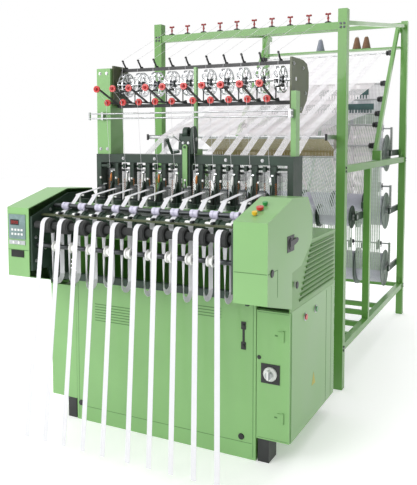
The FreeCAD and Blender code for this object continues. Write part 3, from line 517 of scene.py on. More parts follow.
def make_rollers():
    """Dark shafts with their sleeves, collars and spools, one turned piece for each finish."""
    journal = 0.010
    for node in ("front_roller", "takeup_roller", "press_roller", "ring_shaft"):
        low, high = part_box(node)
        inner, outer = low.x + 0.016, high.x - 0.016
        full, middle = (high.z - low.z) / 2, (low + high) / 2
        core, rows, name, finish = 0.0105, [], node + "_core", dark_steel
        if node == "takeup_roller":
            core, name, finish = full - 0.006, "takeup_grooved", None
            rows = collar_rows(heads, 0.030, core, full)
        elif node == "front_roller":
            core, name, finish = 0.017, "front_sleeves", None
            rows = collar_rows([x + 0.010 for x in heads], 0.027, core, full, 0.006)
        long_roller(node, name, [(low.x, journal), (inner, journal), (inner, core), *rows,
            (outer, core), (outer, journal), (high.x, journal)], finish)
        worn = full - 0.002
        places, reach, profile = [], 0, []
        if node == "press_roller":
            places, reach = heads, 0.020
            profile = mirrored((0, 0.0112), (0, worn), (0.06, full), (0.40, full), (0.43, worn))
        elif node == "ring_shaft":
            places, reach = gaps, 0.0145
            profile = mirrored((0, 0.0112), (0, worn), (0.08, full), (0.22, full), (0.28, 0.015))
        for index, x in enumerate(places):
            Shape().across(x, reach, middle.y, middle.z, profile).done(f"{node}_sleeve_{index}",
                node_slot(node), body=node)


def make_press_pieces():
    """A small rounded presser with its spring in front of each sleeve, on the deflector bar."""
    low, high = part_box("deflector_bar")
    pads, springs, clips = Shape(), Shape(), Shape()
    for x in heads:
        pads.across(x, 0.021, high.y + 0.022, high.z - 0.006, mirrored((0, 0.005), (0.06, 0.0115),
            (0.3, 0.0130), (0.5, 0.0110)), 20)
        for side in (-0.0135, 0.0135):
            clips.box((x + side - 0.0025, high.y - 0.001, high.z - 0.004), (x + side + 0.0025,
                high.y + 0.020, high.z))
        side, z = x + 0.033, high.z + 0.006
        for turn in range(7):
            y = low.y - 0.002 + turn * 0.0035
            springs.bar((side, y, z), (side, y + 0.0018, z), 0.0062, sides=14)
        springs.bar((side, low.y - 0.004, z), (side, high.y + 0.006, z), 0.0035, sides=12)
    pads.done("presser_pads", "white_plastic")
    clips.done("presser_clips", "steel", bevel=0.0006)
    springs.done("presser_springs", "steel", dark_steel)


def make_guides():
    """White T guides with rounded bars, foot screws, and a dark rail segment behind each."""
    low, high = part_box("tape_guides")
    beam_low, beam_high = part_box("breast_beam")
    front, back, top = beam_low.y, beam_high.y, beam_high.z
    tops, rails, screws = Shape(), Shape(), Shape()
    for x in heads:
        tops.across(x, 0.0235, low.y + 0.0045, high.z - 0.0048, mirrored((0, 0.003),
            (0.04, 0.0047), (0.12, 0.0047), (0.16, 0.0036)), 18)
        tops.bar((x, low.y + 0.0055, top), (x, low.y + 0.0055, high.z - 0.006), 0.0045)
        tops.box((x - 0.010, low.y, top), (x + 0.010, high.y, top + 0.004))
        rails.box((x - 0.034, back - 0.022, top + 0.0005), (x + 0.030, back - 0.003, top + 0.020))
        rails.box((x - 0.030, back - 0.018, top + 0.018), (x - 0.018, back - 0.006, top + 0.032))
        for side in (x - 0.020, x + 0.020):
            screws.bar((side, front - 0.0015, top - 0.0075), (side, front + 0.001, top - 0.0075),
                0.0036, sides=6)
    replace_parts(tops.done("guide_bars", "white_plastic", bevel=0.0007), "tape_guides")
    rails.done("guide_rails", "dark_casting", bevel=0.001)
    screws.done("guide_screws", "steel")


def make_batten():
    """Dark batten beam with a framed reed at each head: two rails, end bars and fine dents."""
    low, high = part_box("batten")
    y, z, top = FRONT_Y + 0.150, 0.985, high.z
    base, left, right = z + 0.120, heads[0] - 0.045, heads[-1] + 0.045
    beam, reeds, dents = Shape(), Shape(), Shape()
    beam.bar((low.x, y, z), (high.x, y, z), 0.010)
    beam.box((left, y + 0.005, z - 0.012), (right, y + 0.026, z + 0.060))
    beam.box((left, y + 0.008, z + 0.056), (right, y + 0.022, z + 0.118))
    for x in heads:
        beam.box((x - 0.030, y + 0.002, z + 0.086), (x + 0.030, y + 0.024, z + 0.122))
        for z0, z1 in ((base, base + 0.010), (top - 0.008, top)):
            reeds.box((x - 0.022, y + 0.015, z0), (x + 0.022, y + 0.021, z1))
        for side in (x - 0.022, x + 0.019):
            reeds.box((side, y + 0.015, base), (side + 0.003, y + 0.021, top))
        for i in range(14):
            side = x - 0.0175 + i * 0.0027
            dents.box((side, y + 0.0165, base + 0.006), (side + 0.0006, y + 0.0195, top - 0.004))
        for side in (x - 0.024, x + 0.024):
            dents.bar((side, y + 0.0005, z + 0.103), (side, y + 0.003, z + 0.103), 0.0038, sides=6)
    beam = beam.done("batten_beam", "steel", paints["dark_casting"], 0.0012, "batten")
    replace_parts(beam, "batten")
    reeds.done("reed_frames", "steel", dark_steel, 0.0005, "batten")
    dents.done("reed_dents", "steel", body="batten")


def make_healds():
    """Heddles with their eyes in both frames, hooks, and the return springs under each head."""
    for name, shift in (("heald_frame_front", 0.0), ("heald_frame_rear", 0.0014)):
        low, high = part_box(name)
        lines, eyes = [], Shape()
        y = (low.y + high.y) / 2
        for head in heads:
            for i in range(9):
                x = head - 0.022 + i * 0.0055 + shift
                lines.append([(x, y, low.z + 0.008), (x, y, high.z - 0.008)])
                eyes.bar((x, y - 0.0012, 1.178), (x, y + 0.0012, 1.178), 0.0017, sides=8)
        wires(name + "_heddles", lines, 0.0007, name, dark_steel)
        eyes.done(name + "_eyes", "steel", body=name)
    springs, hooks, blocks = [], Shape(), Shape()
    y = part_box("heald_columns")[0].y
    for x in heads:
        for side in (x - 0.030, x + 0.026):
            springs.append(coil((side, y - 0.016, 1.120), 0.0042, 0.0012, 9))
            for foot, top in ((1.206, 1.262), (1.075, 1.122)):
                hooks.bar((side, y - 0.016, foot), (side, y - 0.016, top), 0.0015)
        blocks.box((x - 0.034, y - 0.024, 1.058), (x + 0.032, y - 0.008, 1.078))
        for side in (x - 0.036, x + 0.018):
            blocks.box((side, y - 0.026, 1.260), (side + 0.014, y - 0.004, 1.286))
        blocks.plate([(y - 0.060, 1.085), (y - 0.030, 1.060), (y - 0.004, 1.060),
            (y - 0.004, 1.150), (y - 0.030, 1.165)], x - 0.014, x - 0.009)
    wires("return_springs", springs, 0.0013, "frame", copper)
    hooks.done("spring_hooks", "steel", dark_steel)
    blocks.done("spring_blocks", "dark_casting", bevel=0.001)


def make_head_fittings():
    """Catch plates, thread eyes and small levers that crowd round each fell."""
    darks, bright, orange, pale = Shape(), Shape(), Shape(), Shape()
    y = FRONT_Y + 0.214
    for index, x in enumerate(heads):
        darks.box((x + 0.030, y - 0.012, 1.055), (x + 0.040, y + 0.014, 1.150))
        darks.plate([(y - 0.030, 1.140), (y + 0.012, 1.140), (y + 0.014, 1.190), (y, 1.204),
            (y - 0.012, 1.186)], x + 0.031, x + 0.037)
        darks.bar((x + 0.034, y - 0.004, 1.196), (x + 0.034, y - 0.004, 1.246), 0.0022)
        bright.bar((x + 0.030, y - 0.004, 1.246), (x + 0.040, y - 0.004, 1.246), 0.006)
        darks.bar((x - 0.030, y + 0.004, 1.110), (x - 0.030, y - 0.016, 1.214), 0.0024)
        pale.bar((x - 0.034, y - 0.016, 1.214), (x - 0.026, y - 0.016, 1.214), 0.0055)
        darks.box((x - 0.036, y - 0.010, 1.050), (x - 0.024, y + 0.009, 1.112))
        cap = orange if index in (0, 3, 5) else (pale if index % 3 else bright)
        cap.turned((x + 0.022, y + 0.002, 1.196), (x + 0.022, y + 0.006, 1.238), [(0, 0.0035),
            (0.15, 0.0062), (0.7, 0.0062), (1, 0.0028)], 16)
        darks.bar((x + 0.022, y + 0.001, 1.150), (x + 0.022, y + 0.002, 1.198), 0.0025)
        darks.box((x + 0.018, y - 0.003, 1.140), (x + 0.031, y + 0.005, 1.152))
    darks.box((heads[0] - 0.045, y - 0.010, 1.034), (heads[-1] + 0.045, y + 0.008, 1.056))
    for x in (-0.43, -0.15, 0.15, 0.43):
        darks.box((x - 0.012, y - 0.008, 0.957), (x + 0.012, y + 0.006, 1.036))
    darks.done("catch_plates", "dark_casting", bevel=0.0007)
    bright.done("thread_eyes", "chrome")
    orange.done("orange_caps", "steel", copper)
    pale.done("ceramic_eyes", "white_plastic")


# ---------------------------------------------------------------- panels and housings
def disc(shape, place, axis, radius, thick):
    """A round cap with a small chamfer, standing proud of a face along axis."""
    start = Vector(place)
    shape.turned(start, start + Vector(axis) * thick, [(0, radius), (0.6, radius),
        (1, radius * 0.86)])


def bolts(name, places, axis, radius, finish=None, body="frame"):
    """Washers with hexagon heads standing on a face."""
    shape, step = Shape(), Vector(axis)
    for place in places:
        seat = Vector(place) + step * 0.0012
        shape.bar(place, seat, radius * 1.5, sides=20)
        shape.bar(seat, seat + step * radius * 0.7, radius, sides=6)
    shape.done(name, "steel", finish, body=body)


def make_front():
    """Seams, latches, plugs and vents on the front panel."""
    y = FRONT_Y
    black, seams, vents = Shape(), Shape(), Shape()
    for z in (0.600, 0.510):
        black.box((0.418, y - 0.004, z - 0.017), (0.440, y, z + 0.017))
        black.turned((0.429, y - 0.003, z), (0.429, y - 0.009, z), [(0, 0.0075), (0.8, 0.0075),
            (1, 0.006)], 16)
    black.box((0.424, y - 0.003, 0.520), (0.434, y, 0.592))
    for x, z in ((0.419, 0.097), (-0.463, 0.087)):
        disc(black, (x, y, z), (0, -1, 0), 0.014, 0.006)
    seams.box((-0.470, y - 0.0005, 0.0720), (0.470, y + 0.0005, 0.0745))
    for x in (-0.4745, 0.4745):
        seams.box((x - 0.0012, y - 0.0005, 0.012), (x + 0.0012, y + 0.0005, 0.722))
    for x0, x1, z0, rows in ((-0.372, -0.166, 0.52, 7), (0.20, 0.32, 0.62, 4)):
        for row in range(rows):
            z = z0 + row * 0.0135
            vents.box((x0, y - 0.0006, z), (x1, y, z + 0.0042))
    black.done("panel_latches", "black_paint", bevel=0.0006)
    seams.done("panel_seams", "pale_green", seam_paint)
    vents.done("panel_vents", "pale_green", seam_paint)


def make_door():
    """Switch surround with its dial, hinges and seams on the cabinet's door."""
    y = FRONT_Y
    low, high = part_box("cabinet_door")
    dial = Vector((0.556, y, 0.403))
    seams, black, pale, mark = Shape(), Shape(), Shape(), Shape()
    black.box(dial - Vector((0.0435, 0.003, 0.0435)), dial + Vector((0.0435, 0, 0.0435)))
    disc(black, (0.503, y, 0.470), (0, -1, 0), 0.009, 0.004)
    for z in (0.575, 0.215):
        pale.box((0.590, y - 0.004, z - 0.020), (0.612, y, z + 0.020))
        pale.bar((0.615, y - 0.004, z - 0.024), (0.615, y - 0.004, z + 0.024), 0.0038)
        seams.box((0.575, y - 0.0012, z - 0.003), (0.590, y, z + 0.003))
    for z in (low.z + 0.006, high.z - 0.008):
        seams.box((low.x + 0.006, y - 0.0005, z), (high.x - 0.006, y, z + 0.002))
    mark.turned(dial - Vector((0, 0.0032, 0)), dial - Vector((0, 0.0125, 0)),
        [(0, 0.031), (0.5, 0.031), (0.8, 0.027), (1, 0.026)], 32)
    for turn in range(10):
        angle = math.radians(turn * 36)
        out = Vector((math.cos(angle), 0, math.sin(angle)))
        mark.bar(dial + out * 0.030 - Vector((0, 0.004, 0)), dial + out * 0.027 - Vector((0,
            0.0128, 0)), 0.0026, sides=8)
    mark.box((dial.x - 0.0045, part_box("main_switch")[0].y - 0.0004, dial.z - 0.016),
        (dial.x + 0.0045, y - 0.012, dial.z + 0.024))
    black.done("switch_surround", "black_paint", bevel=0.0008, body="cabinet_door")
    seams.done("door_seams", "pale_green", seam_paint, body="cabinet_door")
    pale.done("door_hinges", "pale_green", bevel=0.0008, body="cabinet_door")
    mark.done("switch_dial", "switch_plate", white_enamel, 0.0008, "main_switch")


def make_cabinet_side():
    """Rings round the side buttons, folds of the sheet and a bare yellow triangle."""
    y, side = FRONT_Y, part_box("control_cabinet")[1].x
    rings, folds, sticker = Shape(), Shape(), Shape()
    for place in (0.194, 0.347):
        rings.turned((side, y + place, 0.618), (side + 0.004, y + place, 0.618), [(0, 0.0185),
            (0.6, 0.0185), (1, 0.0160)], 28)
    for place in (0.016, 0.520, 0.605):
        folds.box((side, y + place, 0.110), (side + 0.0006, y + place + 0.0025, 0.672))
    sticker.plate([(y + 0.300, 0.262), (y + 0.352, 0.262), (y + 0.326, 0.322)], side, side + 0.0006)
    rings.done("button_rings", "steel")
    folds.done("cabinet_folds", "pale_green", seam_paint)
    sticker.done("blank_triangle", "yellow_plastic", faded_yellow)


def make_latch():
    """Latch and plugs on the right housing, and the seams of both housings."""
    low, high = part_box("right_housing")
    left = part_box("left_housing")
    y, side = FRONT_Y, high.x
    black, seams = Shape(), Shape()
    black.box((side, y - 0.075, 0.950), (side + 0.0015, y + 0.010, 1.018))
    black.turned((side + 0.0015, y - 0.034, 0.984), (side + 0.005, y - 0.034, 0.984),
        [(0, 0.027), (0.5, 0.026), (0.8, 0.024), (1, 0.020)], 28)
    black.plate([(y - 0.052, 0.972), (y - 0.016, 0.970), (y + 0.040, 0.982), (y + 0.052, 0.992),
        (y + 0.040, 1.001), (y - 0.016, 0.998), (y - 0.052, 0.996)], side + 0.003, side + 0.007)
    for place, z in ((-0.243, 0.897), (0.050, 0.793)):
        disc(black, (side, y + place, z), (1, 0, 0), 0.016, 0.004)
    for box, x0, x1 in (((low, high), side, side + 0.0006), (left, left[0].x - 0.0006, left[0].x)):
        seams.box((x0, y - 0.286, 0.8985), (x1, y - 0.180, 0.9015))
        seams.box((x0, y - 0.182, 0.790), (x1, y - 0.179, 0.9015))
        seams.box((box[0].x + 0.003, low.y - 0.0006, 0.8985), (box[1].x - 0.003, low.y, 0.9015))
    black.done("housing_latch", "black_paint", bevel=0.0012)
    seams.done("housing_seams", "pale_green", seam_paint)


def make_display():
    """Window with four digits, keys and a slot strip on the left housing's front."""
    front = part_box("right_housing")[0].y
    low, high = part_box("display_panel")
    glass_y = low.y
    pale, dark, pads, digits = Shape(), Shape(), Shape(), Shape()
    pale.box((low.x + 0.002, front - 0.004, low.z - 0.026), (high.x - 0.002, front, low.z - 0.006))
    dark.box((low.x + 0.010, glass_y - 0.0012, high.z - 0.050), (low.x + 0.062, glass_y,
        high.z - 0.024))
    dark.box((low.x + 0.012, front - 0.003, low.z - 0.085), (high.x - 0.012, front, low.z - 0.052))
    for x in (low.x + 0.030, low.x + 0.062):
        pads.turned((x, front - 0.004, low.z - 0.016), (x, front - 0.007, low.z - 0.016),
            [(0, 0.0065), (0.6, 0.0065), (1, 0.005)], 20)
    for i in range(4):
        x = low.x + 0.016 + i * 0.019
        for z in (low.z + 0.018, low.z + 0.038):
            pads.box((x, glass_y - 0.0014, z), (x + 0.012, glass_y, z + 0.010))
        x, z = low.x + 0.016 + i * 0.011, high.z - 0.044
        for dx, dz, wide, tall in ((0, 0, 0.0012, 0.012), (0.006, 0, 0.0012, 0.012),
                (0, 0.012, 0.0072, 0.0012), (0, 0, 0.0072, 0.0012)):
            digits.box((x + dx, glass_y - 0.0018, z + dz), (x + dx + wide, glass_y - 0.001,
                z + dz + tall))
    pale.done("button_strip", "switch_plate", bevel=0.0006)
    dark.done("display_windows", "panel_film", shadow_paint, 0.0005)
    pads.done("display_keys", "switch_plate", white_enamel, 0.0004)
    digits.done("display_marks", "red_plastic")


def make_button_plate():
    """White plate on the right housing's slope, with a steel collar round each button."""
    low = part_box("right_housing")[0]
    run, rise = 0.279, 0.073
    tilt = Vector((0, run, rise)).normalized()
    out = Vector((0, -tilt.z, tilt.y))
    plate, collars = Shape(), Shape()
    start = Vector((0.570, low.y + 0.040, low.z + 0.322 + 0.040 * rise / run))
    corners = [start + Vector((dx, 0, 0)) + tilt * dy for dx, dy in ((-0.034, 0), (0.034, 0),
        (0.034, 0.190), (-0.034, 0.190))]
    plate.skin([[plate.mesh.verts.new(c + out * lift) for c in corners] for lift in (0.0, 0.003)])
    plate.done("button_plate", "white_plastic", white_enamel, 0.0008)
    for name, radius in (("stop_button", 0.019), ("start_button", 0.015), ("jog_button", 0.015)):
        middle = centre(name)
        base = Vector((middle.x, middle.y, low.z + 0.322 + (middle.y - low.y) * rise / run))
        collars.turned(base + out * 0.002, base + out * 0.0055, [(0, radius), (0.6, radius),
            (1, radius - 0.002)], 28)
    collars.done("button_collars", "steel")


def make_bolts():
    """Bolt heads on cheeks, plates, posts and the anchor blocks."""
    y = FRONT_Y
    cheek = ((-0.255, 0.850), (-0.255, 0.960), (-0.150, 1.080), (-0.040, 1.000), (-0.190, 0.900),
        (0.110, 1.100), (0.150, 1.020), (-0.090, 0.860), (-0.080, 0.940))
    for name, x, way in (("left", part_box("left_housing")[1].x + 0.0122, 1),
            ("right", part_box("right_housing")[0].x - 0.0122, -1)):
        bolts(name + "_cheek_bolts", [(x, y + a, z) for a, z in cheek], (way, 0, 0), 0.0055)
    plate = ((0.365, 1.560), (0.365, 1.770), (0.470, 1.560), (0.540, 1.640), (0.500, 1.760))
    bolts("end_plate_bolts", [(0.5202, y + a, z) for a, z in plate], (1, 0, 0), 0.006)
    bolts("column_bolts", [(x, y + 0.300, z) for x in (-0.545, -0.502) for z in (1.360, 1.760)],
        (0, -1, 0), 0.006)
    low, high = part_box("heald_beam")
    bolts("heald_beam_bolts", [(x + 0.048, low.y, high.z - 0.021) for x in heads[::2]], (0, -1, 0),
        0.0055)
    bolts("tower_bolts", [(x, y + 0.255, z) for x in (-0.015, 0.015) for z in (0.99, 1.395)],
        (0, -1, 0), 0.0045)
    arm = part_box("link_arm")[0]
    bolts("arm_bolt", [(0, arm.y, arm.z + 0.013)], (0, -1, 0), 0.0055, body="link_arm")
    ends = Shape()
    for x in (-0.523, 0.523):
        for place in (y + 0.050, y + 0.610):
            ends.bar((x, place, 0.0), (x, place, 0.010), 0.0085, sides=12)
    ends.done("anchor_ends", "steel")


def make_tower():
    """Casing, ring, levers and cam plate on the centre tower."""
    y = FRONT_Y
    dark, pale, steel = Shape(), Shape(), Shape()
    dark.plate([(y + 0.258, 1.340), (y + 0.300, 1.340), (y + 0.312, 1.392), (y + 0.304, 1.450),
        (y + 0.286, 1.478), (y + 0.262, 1.470), (y + 0.252, 1.420)], 0.0255, 0.041)
    dark.plate([(y + 0.258, 1.360), (y + 0.296, 1.360), (y + 0.296, 1.430), (y + 0.268, 1.442)],
        -0.044, -0.0255)
    dark.turned((-0.016, y + 0.272, 1.447), (-0.0105, y + 0.272, 1.447),
        [(0, 0.020), (0.3, 0.0255), (1, 0.0255)], 28)
    dark.bar((-0.080, y + 0.262, 1.342), (-0.086, y + 0.226, 1.404), 0.0068, 0.0080)
    dark.bar((-0.044, y + 0.270, 1.352), (-0.082, y + 0.262, 1.345), 0.0075)
    dark.bar((-0.086, y + 0.226, 1.404), (-0.087, y + 0.221, 1.412), 0.0105)
    steel.bar((-0.030, y + 0.256, 1.400), (-0.060, y + 0.240, 1.426), 0.0035)
    pale.turned((-0.060, y + 0.240, 1.426), (-0.066, y + 0.237, 1.431), [(0, 0.005), (0.3, 0.0085),
        (0.8, 0.0085), (1, 0.005)], 16)
    steel.turned((0.041, y + 0.285, 1.412), (0.047, y + 0.285, 1.412), [(0, 0.010), (0.7, 0.010),
        (1, 0.007)], 20)
    for i in range(5):
        z = 1.010 + i * 0.046
        steel.box((-0.0245, y + 0.2546, z), (-0.016, y + 0.2556, z + 0.024))
    dark.done("tower_casing", "dark_casting", bevel=0.0015)
    pale.done("tower_knob", "white_plastic")
    steel.done("tower_steel", "steel", bevel=0.0005)


def make_feeder():
    """Hubs, spokes and bands of the feed wheels."""
    low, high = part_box("feed_wheels")
    y, z = (low.y + high.y) / 2, (low.z + high.z) / 2
    hubs, rims = Shape(), Shape()
    for x in heads:
        hubs.across(x, 0.019, y, z, mirrored((0, 0.012), (0.08, 0.019), (0.3, 0.019),
            (0.36, 0.014)))
        for turn in range(8):
            angle = math.radians(22.5 + turn * 45)
            a, b = math.cos(angle), math.sin(angle)
            for side in (x - 0.013, x + 0.013):
                rims.bar((side, y + 0.016 * a, z + 0.016 * b), (side, y + 0.060 * a,
                    z + 0.060 * b), 0.0019, sides=8)
            rims.bar((x - 0.0148, y + 0.0605 * a, z + 0.0605 * b), (x + 0.0148, y + 0.0605 * a,
                z + 0.0605 * b), 0.0026, sides=8)
    hubs.done("wheel_hubs", "chrome", dark_steel, body="feed_wheels")
    rims.done("wheel_spokes", "chrome", body="feed_wheels")


def make_feeder_fittings():
    """Springs and tips of the slanted pins, guide eyes, arm fittings and the threads between."""
    y = FRONT_Y
    coils, threads, tips, eyes, arms = [], [], Shape(), Shape(), Shape()
    for x, guide_x in zip(heads, guide_places):
        base, top = Vector((x, y + 0.401, 1.784)), Vector((x, y + 0.360, 1.830))
        path = []
        for i in range(81):
            turn = i * math.pi / 4
            path.append(base.lerp(top, i / 80) + 0.0042 * Vector((math.cos(turn), 0,
                math.sin(turn))))
        coils.append(path)
        tips.bar((x - 0.005, y + 0.3655, 1.826), (x + 0.005, y + 0.3655, 1.826), 0.0038, sides=12)
        tips.turned((x, y + 0.401, 1.7885), (x, y + 0.401, 1.797), [(0, 0.009), (0.5, 0.009),
            (1, 0.006)], 16)
        for eye_x, eye_y, z in ((x - 0.001, y + 0.2125, 1.600), (x, y + 0.1215, 1.664)):
            eyes.turned((eye_x, eye_y, z), (eye_x, eye_y - 0.004, z), [(0, 0.0075), (0.5, 0.0075),
                (1, 0.004)], 16)
        arms.box((x - 0.007, y + 0.343, 1.5935), (x + 0.007, y + 0.350, 1.607))
        arms.turned((x, y + 0.362, 1.596), (x, y + 0.362, 1.611), [(0, 0.009), (0.4, 0.009),
            (0.6, 0.006), (1, 0.006)], 14)
        arms.bar((x + 0.002, y + 0.330, 1.660), (x + 0.026, y + 0.348, 1.668), 0.004)
        arms.turned((x + 0.026, y + 0.345, 1.664), (x + 0.029, y + 0.350, 1.672),
            [(0, 0.009), (0.5, 0.011), (1, 0.009)], 12)
        arms.bar((x + 0.002, y + 0.330, 1.604), (x + 0.002, y + 0.330, 1.662), 0.003)
        threads.append([(guide_x, y + 0.985, 2.094), (x, y + 0.363, 1.831), (x + 0.003, y + 0.352,
            1.745)])
        threads.append([(x + 0.003, y + 0.345, 1.655), (x, y + 0.118, 1.668), (x, y + 0.208,
            1.604), (x + 0.022, y + 0.209, 1.240)])
    wires("pin_springs", coils, 0.0013, "frame", paints["black_paint"])
    tips.done("pin_tips", "black_paint")
    eyes.done("guide_eyes", "white_plastic", dark_red)
    arms.done("guide_arm_fittings", "black_paint", bevel=0.0005)
    wires("feed_threads", threads, 0.0008, "frame", thread_white)


# ---------------------------------------------------------------- creel
def lease_point(y):
    """(y, z) in the frame on the lease arms' centre line, y from the cabinets' front."""
    return FRONT_Y + y, 1.300 + (y - 1.985) * (2.262 - 1.300) / (2.700 - 1.985)


def yarn_sheet(name, path, places, wide, paint):
    """Parallel strips of yarn stretched along one path of (y, z) points."""
    band, length = Shape(), path_length(path)
    for x in places:
        band.strip(path, x, wide, 0.0007)
    band.done(name, "warp_yarn", paint)


def spread(low, high, count):
    return [low + (high - low) * i / (count - 1) for i in range(count)]


def beam_pitch(high):
    """Distance between the five beams of a shaft whose box ends at high."""
    return 2 * (high.x - 0.030) / 5


def beam_places(count):
    """Places across the five beams of a shaft, none of them at a flange."""
    middles = (-0.424, -0.212, 0, 0.212, 0.424)
    return [middle + x for middle in middles for x in spread(-0.089, 0.089, count)]


def make_yarn_sheets():
    """Yarn from each beam up to the lease rods, forward to the guide bar, and to the lower bars."""
    def at(y, z):
        return FRONT_Y + y, z

    def rod(place, back=0.0, up=0.0):
        y, z = lease_point(place)
        return y + back, z + up

    yarn_sheet("upper_sheet_left", [rod(2.370, up=0.0075), at(0.800, 1.4345)], spread(-0.452,
        0.452, 96), 0.0052, pink_yarn)
    yarn_sheet("upper_sheet_right", [rod(2.200, up=0.0075), at(0.800, 1.4357)], spread(0.004,
        0.452, 40), 0.0056, None)
    # the golden sheet's brown is partly painted shade and partly the drop wires' brass
    yarn_sheet("golden_sheet", [at(0.806, 1.4125), at(0.960, 1.351), at(0.962, 1.318)],
        spread(-0.20, 0.545, 90), 0.0070, shaded_gold_yarn)
    for name, path, count, wide, paint in (("high_beam_sheet", [at(2.346, 1.300),
            rod(2.370, 0.0075)], 18, 0.0080, None), ("middle_beam_sheet", [at(2.338, 0.860),
            rod(2.280, 0.0075)], 17, 0.0080, cloud_yarn), ("low_beam_sheet", [at(2.343, 0.420),
            rod(2.200, 0.0075)], 15, 0.0080, mist_yarn), ("rear_small_sheet", [at(1.8195, 0.990),
            rod(2.140, up=-0.0085)], 16, 0.0075, pink_yarn), ("front_small_sheet",
            [at(1.381, 0.935), at(0.981, 1.305)], 14, 0.0075, cloud_yarn)):
        yarn_sheet(name, path, beam_places(count), wide, paint)


def make_beams():
    """Wound yarn between dark ribbed flanges on every beam, over steel shafts."""
    for node in (*REAR_BEAMS, "front_beam_rear", "front_beam_front"):
        low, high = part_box(node)
        y, z = (low.y + high.y) / 2, (low.z + high.z) / 2
        radius, pitch = (high.z - low.z) / 2, beam_pitch(high)
        core, wide = radius * 0.8, pitch / 2 - 0.006
        shaft, flanges, yarn = Shape(), Shape(), Shape()
        shaft.bar((low.x, y, z), (high.x, y, z), 0.014, sides=24)
        for i in range(5):
            middle = (i - 2) * pitch
            yarn.across(middle, wide - 0.003, y, z, mirrored((0, core - 0.006), (0.03, core),
                (0.5, core + 0.0015)), 40)
            for edge, way in ((middle - wide, -1), (middle + wide, 1)):
                flanges.across(edge, 0.003, y, z, mirrored((0, radius - 0.0015), (0.25, radius)),
                    40)
                flanges.turned((edge + way * 0.003, y, z), (edge + way * 0.0055, y, z),
                    [(0, radius * 0.34), (0.7, radius * 0.34), (1, radius * 0.30)], 28)
                rib = edge + way * 0.0032
                for turn in range(6):
                    angle = math.radians(turn * 60 + 15)
                    a, b = radius * math.cos(angle), radius * math.sin(angle)
                    flanges.bar((rib, y + 0.30 * a, z + 0.30 * b), (rib, y + 0.92 * a,
                        z + 0.92 * b), 0.0024, sides=6)
        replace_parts(shaft.done(node + "_shaft", "wound_beam", paints["steel"], body=node), node)
        flanges.done(node + "_flanges", "wound_beam", paints["dark_casting"] if radius < 0.1
            else grey_flange, body=node)
        yarn.done(node + "_yarn", "wound_beam", lilac_yarn if node == "front_beam_rear" else None,
            body=node)


def make_brakes():
    """A rod above each rear beam with its row of dark brake levers and springs."""
    levers, rods, springs = Shape(), Shape(), []
    for node in REAR_BEAMS:
        low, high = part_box(node)
        y, z = (low.y + high.y) / 2, high.z + 0.045
        rods.bar((low.x, y + 0.02, z), (high.x, y + 0.02, z), 0.006)
        for x in (-0.5529, 0.5529):
            rods.box((x - 0.0069, y + 0.008, z - 0.164), (x + 0.0069, y + 0.032, z + 0.010))
        for i in range(10):
            x = (i // 2 - 2) * beam_pitch(high) + (0.055 if i % 2 else -0.055)
            levers.across(x, 0.012, y + 0.02, z, mirrored((0, 0.012), (0.1, 0.014)), 20)
            levers.plate([(y + 0.014, z - 0.008), (y + 0.028, z + 0.006), (y - 0.030, z + 0.034),
                (y - 0.062, z + 0.010), (y - 0.062, z - 0.006)], x - 0.007, x + 0.007)
            levers.plate([(y - 0.040, z + 0.004), (y - 0.062, z + 0.004), (y - 0.070, z - 0.036),
                (y - 0.052, z - 0.036)], x - 0.011, x + 0.011)
            springs.append(coil((x + 0.018, y - 0.012, z - 0.026), 0.0045, 0.0009, 7))
    rods.done("brake_rods", "steel")
    levers.done("brake_levers", "black_paint", bevel=0.0012)
    wires("brake_springs", springs, 0.0014, "frame", dark_steel)


def make_lease_fittings():
    """Black clamps where the rods cross the arms, dropper boxes, combs and end knobs."""
    clamps, knobs, boxes, combs = Shape(), Shape(), Shape(), Shape()
    for place in (2.030, 2.140, 2.200, 2.280, 2.370, 2.550):
        y, z = lease_point(place)
        for side in (-1, 1):
            inner = side * 0.5265
            middle = inner - side * 0.010
            clamps.box((middle - 0.010, y - 0.020, z - 0.019), (middle + 0.010, y + 0.020,
                z + 0.019))
            knobs.turned((inner - side * 0.021, y, z), (inner - side * 0.040, y, z),
                [(0, 0.012), (0.3, 0.0185), (0.8, 0.0185), (1, 0.013)], 20)
    for place, left, right in ((2.250, -0.44, -0.12), (2.250, -0.06, 0.20), (2.250, 0.25, 0.46),
            (2.335, 0.02, 0.40)):
        y, z = lease_point(place)
        y += 0.030
        boxes.box((left, y, z - 0.034), (right, y + 0.016, z + 0.010))
        for i in range(int((right - left) / 0.022)):
            x = left + 0.008 + i * 0.022
            boxes.box((x, y + 0.002, z - 0.062), (x + 0.008, y + 0.012, z - 0.034))
    y, z = FRONT_Y + 0.973, 1.327
    for i in range(46):
        x = -0.20 + i * 0.0164
        combs.box((x, y - 0.003, z - 0.020), (x + 0.0022, y + 0.003, z + 0.020))
    for x in (-0.5535, 0.5535):
        clamps.box((x - 0.007, FRONT_Y + 0.784, 1.404), (x + 0.007, FRONT_Y + 0.788, 1.440))
    clamps.done("rod_clamps", "black_paint", bevel=0.0015)
    knobs.done("clamp_knobs", "black_paint", bevel=0.0008)
    boxes.done("dropper_boxes", "dark_casting", dark_teal, 0.001)
    combs.done("guide_comb", "steel", dark_steel)


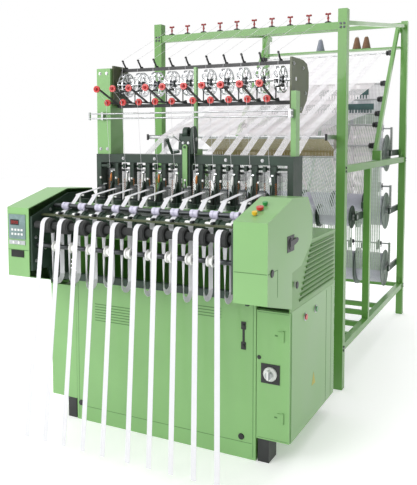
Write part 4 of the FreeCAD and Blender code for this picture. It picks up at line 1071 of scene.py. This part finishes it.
def make_thread_guides():
    """T guide bases and eyes on the creel's top rail, and the cones behind them."""
    low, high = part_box("thread_guides")
    y = (low.y + high.y) / 2
    bases, eyes, tees, cores = Shape(), Shape(), Shape(), Shape()
    for x in guide_places:
        bases.turned((x, y, low.z), (x, y, low.z + 0.011), [(0, 0.019), (0.5, 0.019), (0.8, 0.013),
            (1, 0.008)], 24)
        tees.bar((x, y, low.z + 0.010), (x, y, high.z - 0.008), 0.0042)
        tees.across(x, 0.016, y, high.z - 0.0055, mirrored((0, 0.0035), (0.08, 0.0058),
            (0.28, 0.0058), (0.34, 0.0042)), 18)
        eyes.turned((x, y - 0.0035, low.z + 0.028), (x, y + 0.0035, low.z + 0.028),
            [(0, 0.005), (0.5, 0.0075), (1, 0.005)], 16)
    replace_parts(tees.done("guide_tees", "red_plastic", dark_red), "thread_guides")
    bases.done("guide_bases", "black_paint")
    eyes.done("tee_eyes", "red_plastic", dark_red)
    low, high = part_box("thread_cones")
    y = (low.y + high.y) / 2
    for index, x in enumerate((-0.090, 0.213, 0.290)):
        cone = Shape().turned((x, y, low.z), (x, y, high.z - 0.008), [(0, 0.031), (0.04, 0.036),
            (0.5, 0.026), (0.93, 0.0165), (1, 0.012)], 32)
        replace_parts(cone.done(f"yarn_cone_{index}", "cone_yarn", slate_yarn if x < 0 else None),
            "thread_cones")
        cores.turned((x, y, high.z - 0.010), (x, y, high.z), [(0, 0.012), (0.6, 0.010),
            (1, 0.0085)], 20)
        cores.bar((x, y, low.z - 0.002), (x, y, low.z + 0.004), 0.033, sides=24)
    cores.done("cone_cores", "white_plastic", white_enamel)


def make_creel_fittings():
    """Post caps, base plates, gussets and corner bolts of the creel."""
    caps, plates, gussets = Shape(), Shape(), Shape()
    front, rear, half = FRONT_Y + 0.985, FRONT_Y + 2.760, 0.0245
    for side, name in ((1, "right"), (-1, "left")):
        x, spots = side * 0.585, []
        for y, top in ((front, 2.120), (rear, 2.324)):
            caps.box((x - half, y - half, top - 0.012), (x + half, y + half, top - 0.0005))
            plates.box((x - half, y - 0.0255, 0.0), (x + 0.0255, y + 0.0255, 0.006))
        for z in (1.243, 0.233):
            for post, way in ((front, 1), (rear, -1)):
                spots += [(x + side * 0.025, post, z - 0.010), (x + side * 0.025, post, z + 0.010)]
                y = post + way * 0.030
                gussets.plate([(y - way * 0.004, z + 0.0205), (y + way * 0.050, z + 0.0205),
                    (y - way * 0.004, z + 0.0700)], x - 0.003, x + 0.003)
        bolts("creel_bolts_" + name, spots, (side, 0, 0), 0.0055, finish=dark_steel)
    caps.done("post_caps", "black_paint", bevel=0.001)
    # feet and gussets take the darker green slot, which is painted shade for side faces
    plates.done("post_feet", "green", bevel=0.0006)
    gussets.done("post_gussets", "green", bevel=0.0006)
    joints = [(side * 0.585 + dx, front - 0.0255, 2.030 + dz) for side in (-1, 1)
        for dx in (-0.010, 0.010) for dz in (-0.010, 0.010)]
    bolts("top_rail_bolts", joints, (0, -1, 0), 0.0045, finish=dark_steel)


make_camera()
make_studio()
dress_cad()
make_tapes()
make_warp()
make_rollers()
make_press_pieces()
make_guides()
make_batten()
make_healds()
make_head_fittings()
make_front()
make_door()
make_cabinet_side()
make_latch()
make_display()
make_button_plate()
make_bolts()
make_tower()
make_feeder()
make_feeder_fittings()
make_yarn_sheets()
make_beams()
make_brakes()
make_lease_fittings()
make_thread_guides()
make_creel_fittings()
